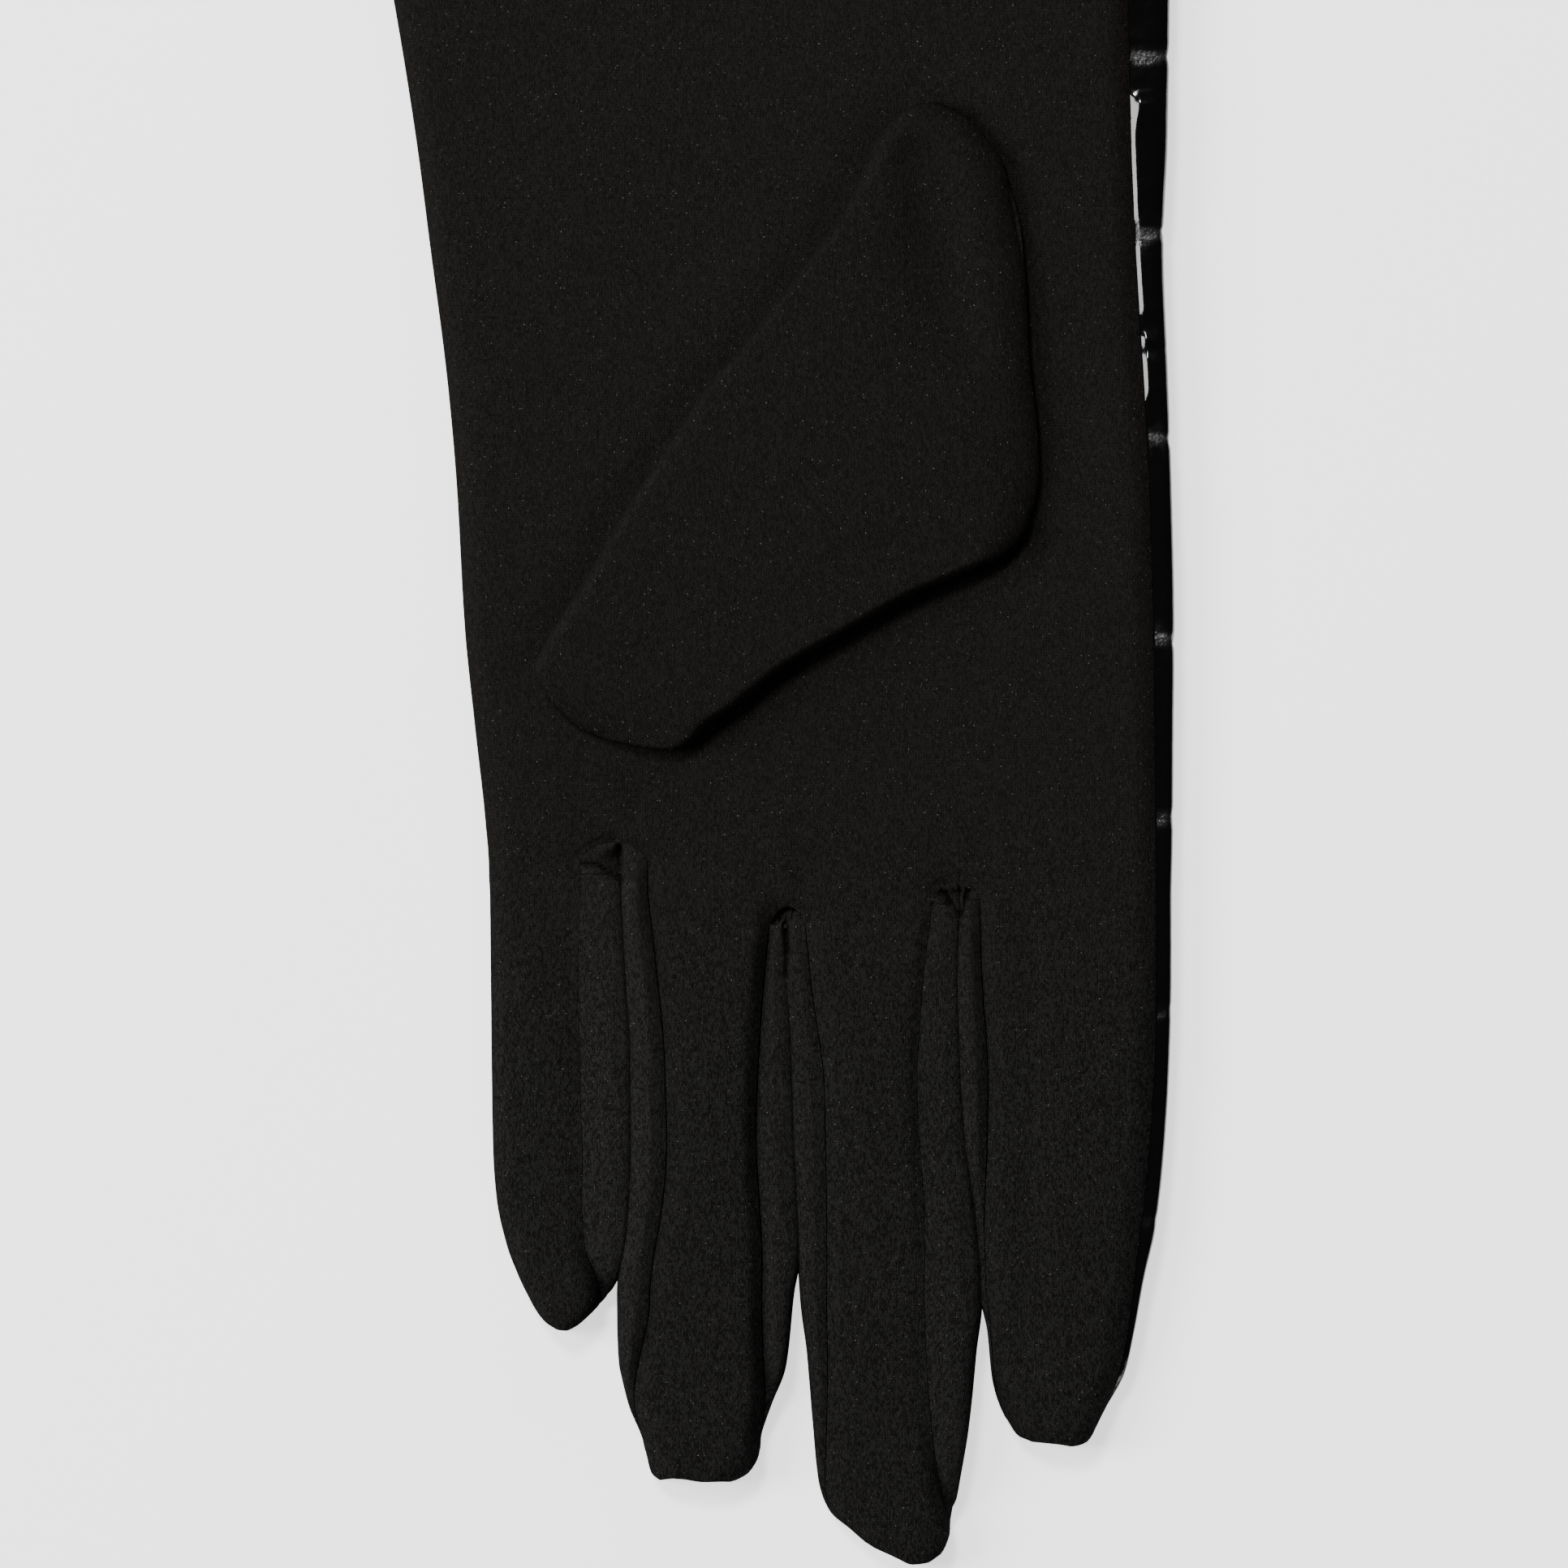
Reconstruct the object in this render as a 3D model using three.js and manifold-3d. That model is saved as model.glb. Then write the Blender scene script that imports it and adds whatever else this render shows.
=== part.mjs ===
// A left-hand dress glove lying palm up with its thumb folded over the palm. Millimetres, +Z up, the
// fingers point to -Y and the cuff opens to +Y. Six pieces of cloth are sewn edge to edge round one
// hollow: a patent back that lies on the table and turns up along the index side, a jersey palm with
// its four finger fronts, a folded thumb on a hole in the palm, and a gusset between each two fingers.
import * as THREE from "three";
import Module from "manifold-3d";

const wasm = await Module();
wasm.setup();

// Sizes of the hand
const palmWidth = 88; // across the knuckles
const bodyLength = 143; // from the hem to the knuckle line, which is y = 0 here
const littleLength = 56.8; // each finger, from the knuckle line to its tip
const ringLength = 76.2;
const middleLength = 87;
const indexLength = 71.6;
const thumbLength = 93;
const thumbWidth = 42; // a unit for the places across the thumb
const thumbTurn = 26; // degrees that the folded thumb turns from the fingers towards the little finger

// Sizes of the cloth
const gloveHeight = 7.8; // the palm's outer face above the table
const thumbHeight = 5; // the folded thumb's two layers and the air between them
const jerseyWall = 1.1;
const patentWall = 1;
const hemLength = 11; // the cuff's edge is turned in over this length
const hemWall = 0.6; // and is this much thicker there
const seamGap = 0.3; // between two pieces where they are sewn together
const seamDepth = 0.8; // how far a seam lies below the cloth beside it
const seamRound = 2.2; // how far from a seam the cloth begins to roll into it
const sideRound = 4.8; // the same for a side that rolls down to the table
const edgeDepth = 1.7; // how far the palm dips to its seam with the patent
const edgeRound = 3.4;
const fingerGap = 0.6; // between the sides of two fingers
const webLength = 8; // how far down a finger the web between two fingers reaches
const webRun = 3.4; // how far the web leans from the palm's arch to the table
const archLength = 3.2; // the arch that the palm's edge makes above a web
const tableEdge = patentWall + seamGap; // where a side that stands on the back begins

// The body's sides, from the knuckle line to the hem. Places across are shares of palmWidth from the
// middle of the knuckles: the little finger's side, the seam beside the patent, and the patent's side.
const bodySides = [
  { at: 0.0, left: -0.502, seam: 0.478, right: 0.502 },
  { at: 0.06, left: -0.508, seam: 0.477, right: 0.504 },
  { at: 0.15, left: -0.524, seam: 0.476, right: 0.505 },
  { at: 0.24, left: -0.539, seam: 0.474, right: 0.506 },
  { at: 0.37, left: -0.551, seam: 0.468, right: 0.502 },
  { at: 0.46, left: -0.564, seam: 0.46, right: 0.497 },
  { at: 0.59, left: -0.591, seam: 0.447, right: 0.49 },
  { at: 0.68, left: -0.61, seam: 0.441, right: 0.496 },
  { at: 0.81, left: -0.644, seam: 0.437, right: 0.499 },
  { at: 1.0, left: -0.704, seam: 0.433, right: 0.5 },
];

// The lines between the fingers, by share of the middle finger's length.
const fingerSplits = [
  { at: 0.0, littleRing: -0.307, ringMiddle: -0.066, middleIndex: 0.191 },
  { at: 0.12, littleRing: -0.301, ringMiddle: -0.064, middleIndex: 0.187 },
  { at: 0.24, littleRing: -0.294, ringMiddle: -0.058, middleIndex: 0.19 },
  { at: 0.36, littleRing: -0.293, ringMiddle: -0.054, middleIndex: 0.198 },
  { at: 0.48, littleRing: -0.297, ringMiddle: -0.048, middleIndex: 0.211 },
  { at: 0.6, littleRing: -0.312, ringMiddle: -0.045, middleIndex: 0.222 },
  { at: 1.0, littleRing: -0.32, ringMiddle: -0.04, middleIndex: 0.225 },
];

// The tops of the three webs, and where the two outer sides begin to be fingers: shares of palmWidth
// across, and up from the knuckle line.
const webTops = {
  littleRing: { across: -0.318, up: 0.075 },
  ringMiddle: { across: -0.063, up: -0.02 },
  middleIndex: { across: 0.19, up: 0.019 },
};
const outerRoots = { left: 0.023, right: 0 };
const webHeight = (name) => palmWidth * webTops[name].up;

// Each finger by share of its length, in shares of palmWidth. leftIn and rightIn: how far its side on
// the table stands back from the line between two fingers. leftSeam and rightSeam: from that side to
// the seam of its front. left and right: the glove's own two sides, as places across.
const littleRows = [
  { at: 0.0, left: -0.502, rightIn: 0, rightSeam: 0.062 },
  { at: 0.15, left: -0.501, rightIn: 0, rightSeam: 0.069 },
  { at: 0.3, left: -0.5, rightIn: 0, rightSeam: 0.075 },
  { at: 0.45, left: -0.499, rightIn: 0, rightSeam: 0.075 },
  { at: 0.6, left: -0.497, rightIn: 0, rightSeam: 0.072 },
  { at: 0.7, left: -0.492, rightIn: 0, rightSeam: 0.071 },
  { at: 0.8, left: -0.478, rightIn: 0, rightSeam: 0.06 },
  { at: 0.87, left: -0.461, rightIn: 0.003, rightSeam: 0.034 },
  { at: 0.92, left: -0.445, rightIn: 0.014, rightSeam: 0.012 },
  { at: 0.96, left: -0.431, rightIn: 0.038, rightSeam: 0 },
  { at: 0.985, left: -0.418, rightIn: 0.057, rightSeam: 0 },
  { at: 1.0, left: -0.4, rightIn: 0.077, rightSeam: 0 },
];
const ringRows = [
  { at: 0.0, leftIn: 0, leftSeam: 0.039, rightIn: 0, rightSeam: 0.02 },
  { at: 0.15, leftIn: 0, leftSeam: 0.047, rightIn: 0, rightSeam: 0.036 },
  { at: 0.3, leftIn: 0, leftSeam: 0.051, rightIn: 0, rightSeam: 0.051 },
  { at: 0.45, leftIn: 0, leftSeam: 0.053, rightIn: 0, rightSeam: 0.058 },
  { at: 0.6, leftIn: 0, leftSeam: 0.046, rightIn: 0.001, rightSeam: 0.055 },
  { at: 0.7, leftIn: 0.002, leftSeam: 0.045, rightIn: 0.011, rightSeam: 0.047 },
  { at: 0.8, leftIn: 0.005, leftSeam: 0.028, rightIn: 0.022, rightSeam: 0.035 },
  { at: 0.87, leftIn: 0.018, leftSeam: 0.01, rightIn: 0.044, rightSeam: 0.011 },
  { at: 0.92, leftIn: 0.036, leftSeam: 0.003, rightIn: 0.058, rightSeam: 0.003 },
  { at: 0.96, leftIn: 0.048, leftSeam: 0, rightIn: 0.065, rightSeam: 0 },
  { at: 0.985, leftIn: 0.058, leftSeam: 0, rightIn: 0.081, rightSeam: 0 },
  { at: 1.0, leftIn: 0.078, leftSeam: 0, rightIn: 0.112, rightSeam: 0 },
];
const middleRows = [
  { at: 0.0, leftIn: 0, leftSeam: 0.025, rightIn: 0, rightSeam: 0.04 },
  { at: 0.15, leftIn: 0, leftSeam: 0.037, rightIn: 0, rightSeam: 0.054 },
  { at: 0.3, leftIn: 0, leftSeam: 0.048, rightIn: 0, rightSeam: 0.067 },
  { at: 0.45, leftIn: 0, leftSeam: 0.044, rightIn: 0, rightSeam: 0.072 },
  { at: 0.6, leftIn: 0.003, leftSeam: 0.037, rightIn: 0.002, rightSeam: 0.083 },
  { at: 0.7, leftIn: 0.01, leftSeam: 0.03, rightIn: 0.01, rightSeam: 0.073 },
  { at: 0.8, leftIn: 0.017, leftSeam: 0.02, rightIn: 0.021, rightSeam: 0.055 },
  { at: 0.87, leftIn: 0.023, leftSeam: 0.011, rightIn: 0.033, rightSeam: 0.034 },
  { at: 0.92, leftIn: 0.038, leftSeam: 0.003, rightIn: 0.042, rightSeam: 0.014 },
  { at: 0.96, leftIn: 0.081, leftSeam: 0, rightIn: 0.05, rightSeam: 0 },
  { at: 0.985, leftIn: 0.126, leftSeam: 0, rightIn: 0.061, rightSeam: 0 },
  { at: 1.0, leftIn: 0.16, leftSeam: 0, rightIn: 0.083, rightSeam: 0 },
];
const indexRows = [
  { at: 0.0, leftIn: 0, leftSeam: 0.029, right: 0.502, rightSeam: 0.024 },
  { at: 0.15, leftIn: 0, leftSeam: 0.036, right: 0.502, rightSeam: 0.024 },
  { at: 0.3, leftIn: 0, leftSeam: 0.041, right: 0.499, rightSeam: 0.023 },
  { at: 0.45, leftIn: 0, leftSeam: 0.032, right: 0.492, rightSeam: 0.023 },
  { at: 0.6, leftIn: 0, leftSeam: 0.014, right: 0.479, rightSeam: 0.023 },
  { at: 0.7, leftIn: 0, leftSeam: 0.008, right: 0.461, rightSeam: 0.015 },
  { at: 0.8, leftIn: 0.009, leftSeam: 0.005, right: 0.446, rightSeam: 0.01 },
  { at: 0.87, leftIn: 0.014, leftSeam: 0.004, right: 0.433, rightSeam: 0.008 },
  { at: 0.92, leftIn: 0.024, leftSeam: 0.002, right: 0.413, rightSeam: 0.003 },
  { at: 0.96, leftIn: 0.04, leftSeam: 0, right: 0.393, rightSeam: 0 },
  { at: 0.985, leftIn: 0.052, leftSeam: 0, right: 0.38, rightSeam: 0 },
  { at: 1.0, leftIn: 0.074, leftSeam: 0, right: 0.352, rightSeam: 0 },
];

// How high a finger's seams run (0 at the table, 1 beside the front) and how high its front stands.
const tipRows = [
  { at: 0.0, rise: 1, crown: 1 },
  { at: 0.7, rise: 1, crown: 1 },
  { at: 0.8, rise: 0.95, crown: 1 },
  { at: 0.87, rise: 0.75, crown: 0.98 },
  { at: 0.92, rise: 0.38, crown: 0.94 },
  { at: 0.96, rise: 0, crown: 0.82 },
  { at: 0.985, rise: 0, crown: 0.58 },
  { at: 1.0, rise: 0, crown: 0 },
];
const tipStations = [0.33, 0.45, 0.57, 0.67, 0.75, 0.81, 0.86, 0.9, 0.93, 0.96, 0.98, 0.992, 1];
const rootStations = [0, 0.015, 0.05, 0.11, 0.2, 0.36, 0.6, 1];

// The thumb by share of thumbLength from its top edge: its two edges, in shares of thumbWidth to the
// right of its axis, and how full it is.
const thumbRows = [
  { at: 0.0, left: 0.09, right: 0.2, full: 0.24 },
  { at: 0.012, left: 0.045, right: 0.26, full: 0.55 },
  { at: 0.034, left: 0.0, right: 0.35, full: 0.82 },
  { at: 0.072, left: -0.025, right: 0.42, full: 1 },
  { at: 0.105, left: -0.031, right: 0.475, full: 1 },
  { at: 0.16, left: -0.022, right: 0.565, full: 1 },
  { at: 0.2, left: -0.027, right: 0.615, full: 1 },
  { at: 0.27, left: -0.052, right: 0.7, full: 1 },
  { at: 0.355, left: -0.092, right: 0.82, full: 1 },
  { at: 0.43, left: -0.126, right: 0.895, full: 1 },
  { at: 0.482, left: -0.16, right: 0.91, full: 1 },
  { at: 0.526, left: -0.176, right: 0.88, full: 1 },
  { at: 0.56, left: -0.184, right: 0.82, full: 1 },
  { at: 0.634, left: -0.206, right: 0.68, full: 1 },
  { at: 0.72, left: -0.229, right: 0.548, full: 1 },
  { at: 0.807, left: -0.24, right: 0.421, full: 1 },
  { at: 0.885, left: -0.259, right: 0.338, full: 1 },
  { at: 0.92, left: -0.266, right: 0.293, full: 1 },
  { at: 0.948, left: -0.265, right: 0.275, full: 0.92 },
  { at: 0.97, left: -0.216, right: 0.24, full: 0.78 },
  { at: 0.984, left: -0.167, right: 0.16, full: 0.62 },
  { at: 0.995, left: -0.1, right: 0.07, full: 0.42 },
  { at: 1.0, left: -0.05, right: 0.01, full: 0.24 },
];
const thumbTop = { across: 0.118, up: 0.726 }; // where its axis starts: shares of palmWidth and bodyLength
const thumbHole = { across: 0.213, up: 0.5, wide: 0.066, long: 0.15, turn: -6 };

const lerp = (from, to, share) => from + (to - from) * share;
const clamp = (value, low, high) => Math.min(high, Math.max(low, value));
const ease = (share) => clamp(share, 0, 1) ** 2 * (3 - 2 * clamp(share, 0, 1));

// A column of a table at a place between its rows, on a smooth curve through them.
function read(rows, name, at) {
  const last = rows.length - 1;
  let i = 0;
  while (i < last - 1 && at > rows[i + 1].at) i += 1;
  const slope = (j) => {
    if (j <= 0 || j >= last) return (rows[clamp(j, 1, last)][name] - rows[clamp(j, 1, last) - 1][name])
      / (rows[clamp(j, 1, last)].at - rows[clamp(j, 1, last) - 1].at);
    const before = (rows[j][name] - rows[j - 1][name]) / (rows[j].at - rows[j - 1].at);
    const after = (rows[j + 1][name] - rows[j][name]) / (rows[j + 1].at - rows[j].at);
    return before * after <= 0 ? 0 : (2 * before * after) / (before + after);
  };
  const step = rows[i + 1].at - rows[i].at;
  const t = clamp((at - rows[i].at) / step, 0, 1);
  return rows[i][name] * (1 + 2 * t) * (1 - t) ** 2 + slope(i) * step * t * (1 - t) ** 2
    + rows[i + 1][name] * t * t * (3 - 2 * t) + slope(i + 1) * step * t * t * (t - 1);
}

// Where a seam's two rims meet, its cut leans from level at the table to half upright beside a front.
function seamCut(rise) {
  const out = lerp(1, 0.72, rise);
  const up = lerp(0, 0.7, rise);
  const size = Math.hypot(out, up);
  return { out: out / size, up: up / size };
}

// A sheet is a set of outer points with faces between rows of them.
const newSheet = () => ({ points: [], faces: [] });
function addRow(sheet, row) {
  return row.map((point) => sheet.points.push(point) - 1);
}
function joinRows(sheet, upper, lower, flip = false) {
  for (let j = 0; j + 1 < upper.length; j += 1) {
    const [a, b, c, d] = [upper[j], upper[j + 1], lower[j + 1], lower[j]];
    if (flip) sheet.faces.push([a, c, d], [a, b, c]);
    else sheet.faces.push([a, d, c], [a, c, b]);
  }
}

// Thickens a sheet inwards. A point may carry its own inner place, or the rise of a seam it lies on.
function thicken(sheet, wall) {
  const { points, faces } = sheet;
  const normals = points.map(() => new THREE.Vector3());
  const place = (i) => new THREE.Vector3(...points[i].at);
  for (const [a, b, c] of faces) {
    const normal = place(b).sub(place(a)).cross(place(c).sub(place(a)));
    for (const i of [a, b, c]) normals[i].add(normal);
  }
  const inner = points.map((point, i) => {
    if (point.inner) return point.inner;
    if (point.at[1] > bodyLength - 0.01) normals[i].y = 0;
    const normal = normals[i].normalize();
    if (point.rise !== undefined) {
      const cut = seamCut(point.rise);
      const level = Math.hypot(normal.x, normal.y) || 1;
      normal.set((normal.x / level) * cut.out, (normal.y / level) * cut.out, cut.up);
    }
    const thick = wall + hemWall * ease((point.at[1] - bodyLength + hemLength) / 2);
    return point.at.map((value, axis) => value - normal.getComponent(axis) * thick);
  });
  const count = points.length;
  const sides = new Set(faces.flatMap(([a, b, c]) => [`${a},${b}`, `${b},${c}`, `${c},${a}`]));
  const triangles = [];
  for (const [a, b, c] of faces) {
    triangles.push(a, b, c, c + count, b + count, a + count);
    for (const [from, to] of [[a, b], [b, c], [c, a]]) {
      if (!sides.has(`${to},${from}`)) triangles.push(to, from, from + count, to, from + count, to + count);
    }
  }
  return solidFrom([...points.map((point) => point.at), ...inner], triangles);
}

function solidFrom(places, triangles) {
  return new wasm.Manifold(new wasm.Mesh({
    numProp: 3,
    vertProperties: new Float32Array(places.flat()),
    triVerts: new Uint32Array(triangles),
  }));
}

// Fingers: where each side stands on the table and where its front's seams run, at a height up.
const splitAt = (name, y) => palmWidth * read(fingerSplits, name, clamp(-y / middleLength, 0, 1));
const fingers = [
  { name: "little", rows: littleRows, length: littleLength, left: null, right: "littleRing" },
  { name: "ring", rows: ringRows, length: ringLength, left: "littleRing", right: "ringMiddle" },
  { name: "middle", rows: middleRows, length: middleLength, left: "ringMiddle", right: "middleIndex" },
  { name: "index", rows: indexRows, length: indexLength, left: "middleIndex", right: null },
];

function fingerSide(finger, side, y) {
  const sign = side === "left" ? -1 : 1;
  const at = clamp(-y / finger.length, 0, 1);
  const split = finger[side];
  const rise = read(tipRows, "rise", at);
  const seamIn = side === "left" && !split ? 0 : palmWidth * read(finger.rows, `${side}Seam`, at);
  if (!split) {
    const foot = y > 0 ? palmWidth * read(bodySides, side, y / bodyLength)
      : palmWidth * read(finger.rows, side, at);
    const stripe = y > 0 && side === "right"
      ? foot - palmWidth * read(bodySides, "seam", y / bodyLength) : seamIn;
    return { foot, seam: foot - sign * stripe, rise: side === "left" ? 0 : rise };
  }
  const web = webTops[split];
  const back = fingerGap / 2 + palmWidth * read(finger.rows, `${side}In`, at);
  const foot = splitAt(split, y) - sign * back;
  const arch = clamp((palmWidth * web.up - y) / archLength, 0, 1);
  const seam = lerp(palmWidth * web.across, foot - sign * seamIn, Math.sqrt(1 - (1 - arch) ** 2));
  return { foot, seam, rise };
}

const frontTop = (rise, edge) => lerp(tableEdge, gloveHeight - edge, rise);

// The heights up the two sides of a finger, row by row from its root to its tip.
function fingerStations(finger) {
  const low = -0.25 * finger.length;
  const startLeft = finger.left ? webHeight(finger.left) : palmWidth * outerRoots.left;
  const startRight = finger.right ? webHeight(finger.right) : palmWidth * outerRoots.right;
  const root = rootStations.map((share) => ({ left: lerp(startLeft, low, share), right: lerp(startRight, low, share) }));
  const tip = tipStations.map((share) => ({ left: -share * finger.length, right: -share * finger.length }));
  return [...root, ...tip];
}

// One row across a finger's front: a roll at each side and a level middle.
const rollSteps = [0, 0.22, 0.52, 1];
const middleSteps = [0.3, 0.7];
function frontRow(finger, station) {
  const left = fingerSide(finger, "left", station.left);
  const right = fingerSide(finger, "right", station.right);
  const at = clamp(-(station.left + station.right) / 2 / finger.length, 0, 1);
  const top = lerp(tableEdge, gloveHeight, read(tipRows, "crown", at));
  const width = right.seam - left.seam;
  const rolls = [left, right].map((side, i) => {
    const patent = i === 1 && !finger.right;
    const high = Math.min(frontTop(side.rise, patent ? edgeDepth : seamDepth), top);
    const round = lerp(sideRound, patent ? edgeRound : seamRound, side.rise);
    return { high, round: Math.min(round, width * 0.34), steep: 1 - side.rise };
  });
  const row = [];
  const put = (x, z, share, rise) => {
    row.push({ at: [x, lerp(station.left, station.right, share), z], rise });
  };
  const roll = ({ high, round, steep }, step) => ({
    along: round * lerp(step, 1 - Math.cos((step * Math.PI) / 2), steep),
    z: lerp(high, top, Math.sin((step * Math.PI) / 2)),
  });
  const ending = at >= 1;
  for (const step of rollSteps) {
    const { along, z } = roll(rolls[0], step);
    put(left.seam + along, z, along / width, step === 0 ? left.rise : ending ? 0 : undefined);
  }
  for (const step of middleSteps) {
    const x = lerp(left.seam + rolls[0].round, right.seam - rolls[1].round, step);
    put(x, top, (x - left.seam) / width, ending ? 0 : undefined);
  }
  for (const step of [...rollSteps].reverse()) {
    const { along, z } = roll(rolls[1], step);
    put(right.seam - along, z, 1 - along / width, step === 0 ? right.rise : ending ? 0 : undefined);
  }
  return row;
}

// The palm from the hem to the webs. Its columns carry on into the four fronts.
const bodyStations = [1, 0.985, 0.923, 0.91, 0.82, 0.72, 0.62, 0.52, 0.42, 0.32, 0.24, 0.17, 0.125, 0.095, 0.078];
const endBow = 1.8; // how far the last row of the body bows up between two webs
function dipAt(x, y) {
  let dip = 0;
  for (const web of Object.values(webTops)) {
    const away = Math.hypot(x - palmWidth * web.across, y - palmWidth * web.up);
    dip = Math.max(dip, seamDepth * (1 - clamp(away / seamRound, 0, 1)) ** 2);
  }
  return dip;
}
function palmSheet() {
  const sheet = newSheet();
  const firstRows = fingers.map((finger) => frontRow(finger, fingerStations(finger)[0]));
  for (const row of firstRows) {
    const [from, to] = [row[0].at[0], row.at(-1).at[0]];
    for (const { at } of row) {
      const share = (at[0] - from) / (to - from);
      at[1] += endBow * Math.sqrt(Math.max(0, 4 * share * (1 - share)));
    }
  }
  const endRow = firstRows.flatMap((row, i) => (i === 0 ? row : row.slice(1)));
  const rolled = rollSteps.length - 1;
  const last = endRow.length - 1;
  const shape = endRow.map((point) => [...point.at]);
  const rowAt = (share, blend) => {
    const ys = shape.map((place) => lerp(place[1], share * bodyLength, blend));
    const row = shape.map((place, j) => {
      const y = ys[j];
      const body = clamp(y / bodyLength, 0, 1);
      const [left, right] = [palmWidth * read(bodySides, "left", body), palmWidth * read(bodySides, "seam", body)];
      const [from, to] = [shape[rolled][0], shape[last - rolled][0]];
      let x = lerp(left + sideRound, right - edgeRound, (place[0] - from) / (to - from));
      let z = gloveHeight - dipAt(blend ? x : place[0], y);
      if (j < rolled) [x, z] = [left + place[0] - shape[0][0], place[2]];
      if (j > last - rolled) [x, z] = [right + place[0] - shape[last][0], place[2]];
      if (!blend) x = place[0];
      const edge = j === 0 ? 0 : j === last ? 1 : undefined;
      return { at: [x, y, z], rise: edge };
    });
    return row;
  };
  let upper = null;
  const stations = bodyStations.map((share) => [share, 1]);
  for (const blend of [0.6, 0.25]) stations.push([0.078, blend]);
  for (const [share, blend] of stations) {
    const lower = addRow(sheet, rowAt(share, blend));
    if (upper) joinRows(sheet, upper, lower);
    upper = lower;
  }
  const end = rowAt(0, 0);
  const webColumns = [1, 2, 3].map((i) => i * (firstRows[0].length - 1));
  for (const column of webColumns) end[column].rise = 1;
  const endLine = addRow(sheet, end);
  joinRows(sheet, upper, endLine);
  fingers.forEach((finger, i) => {
    const from = i * (firstRows[0].length - 1);
    let above = endLine.slice(from, from + firstRows[0].length);
    for (const station of fingerStations(finger).slice(1)) {
      const below = addRow(sheet, frontRow(finger, station));
      joinRows(sheet, above, below);
      above = below;
    }
  });
  return sheet;
}

// The patent back: level on the table, with its index side turned up to the seam.
const turnSteps = [0, 0.3, 0.6, 1];
function backRow(y, left, right, turned, rise, seam, leftY = y) {
  const row = [];
  const low = lerp(patentWall, 2.9, rise);
  const reach = turned ? lerp(1.6, 3.2, rise) : 0;
  for (const share of [0, 0.34, 0.67, 1]) {
    const x = lerp(left, right - reach, share);
    const here = lerp(leftY, y, share);
    const thick = patentWall + (share ? hemWall : 0) * ease((here - bodyLength + hemLength) / 2);
    row.push({ at: [x, here, 0], inner: [x, here, thick] });
  }
  if (!turned) return row;
  const thick = patentWall + hemWall * ease((y - bodyLength + hemLength) / 2);
  for (const step of turnSteps.slice(1)) {
    const angle = (step * Math.PI) / 2;
    const [across, up] = [Math.sin(angle), 1 - Math.cos(angle)];
    row.push({
      at: [right - reach + reach * across, y, low * up],
      inner: [right - reach + (reach - thick) * across, y, thick + Math.max(low - thick, 0.02) * up],
    });
  }
  const cut = seamCut(rise);
  const top = frontTop(rise, edgeDepth);
  const end = [seam + seamGap * cut.up, top - seamGap * cut.out];
  const endIn = [end[0] - thick * cut.out, end[1] - thick * cut.up];
  for (const step of [0.45, 0.78, 1]) {
    const bow = Math.sin((step * Math.PI) / 2);
    const fall = 1 - Math.cos((step * Math.PI) / 2);
    row.push({
      at: [lerp(right, end[0], fall), y, lerp(low, end[1], bow)],
      inner: [lerp(right - thick, endIn[0], fall), y, lerp(low + 0.02, endIn[1], bow)],
    });
  }
  return row;
}
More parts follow.
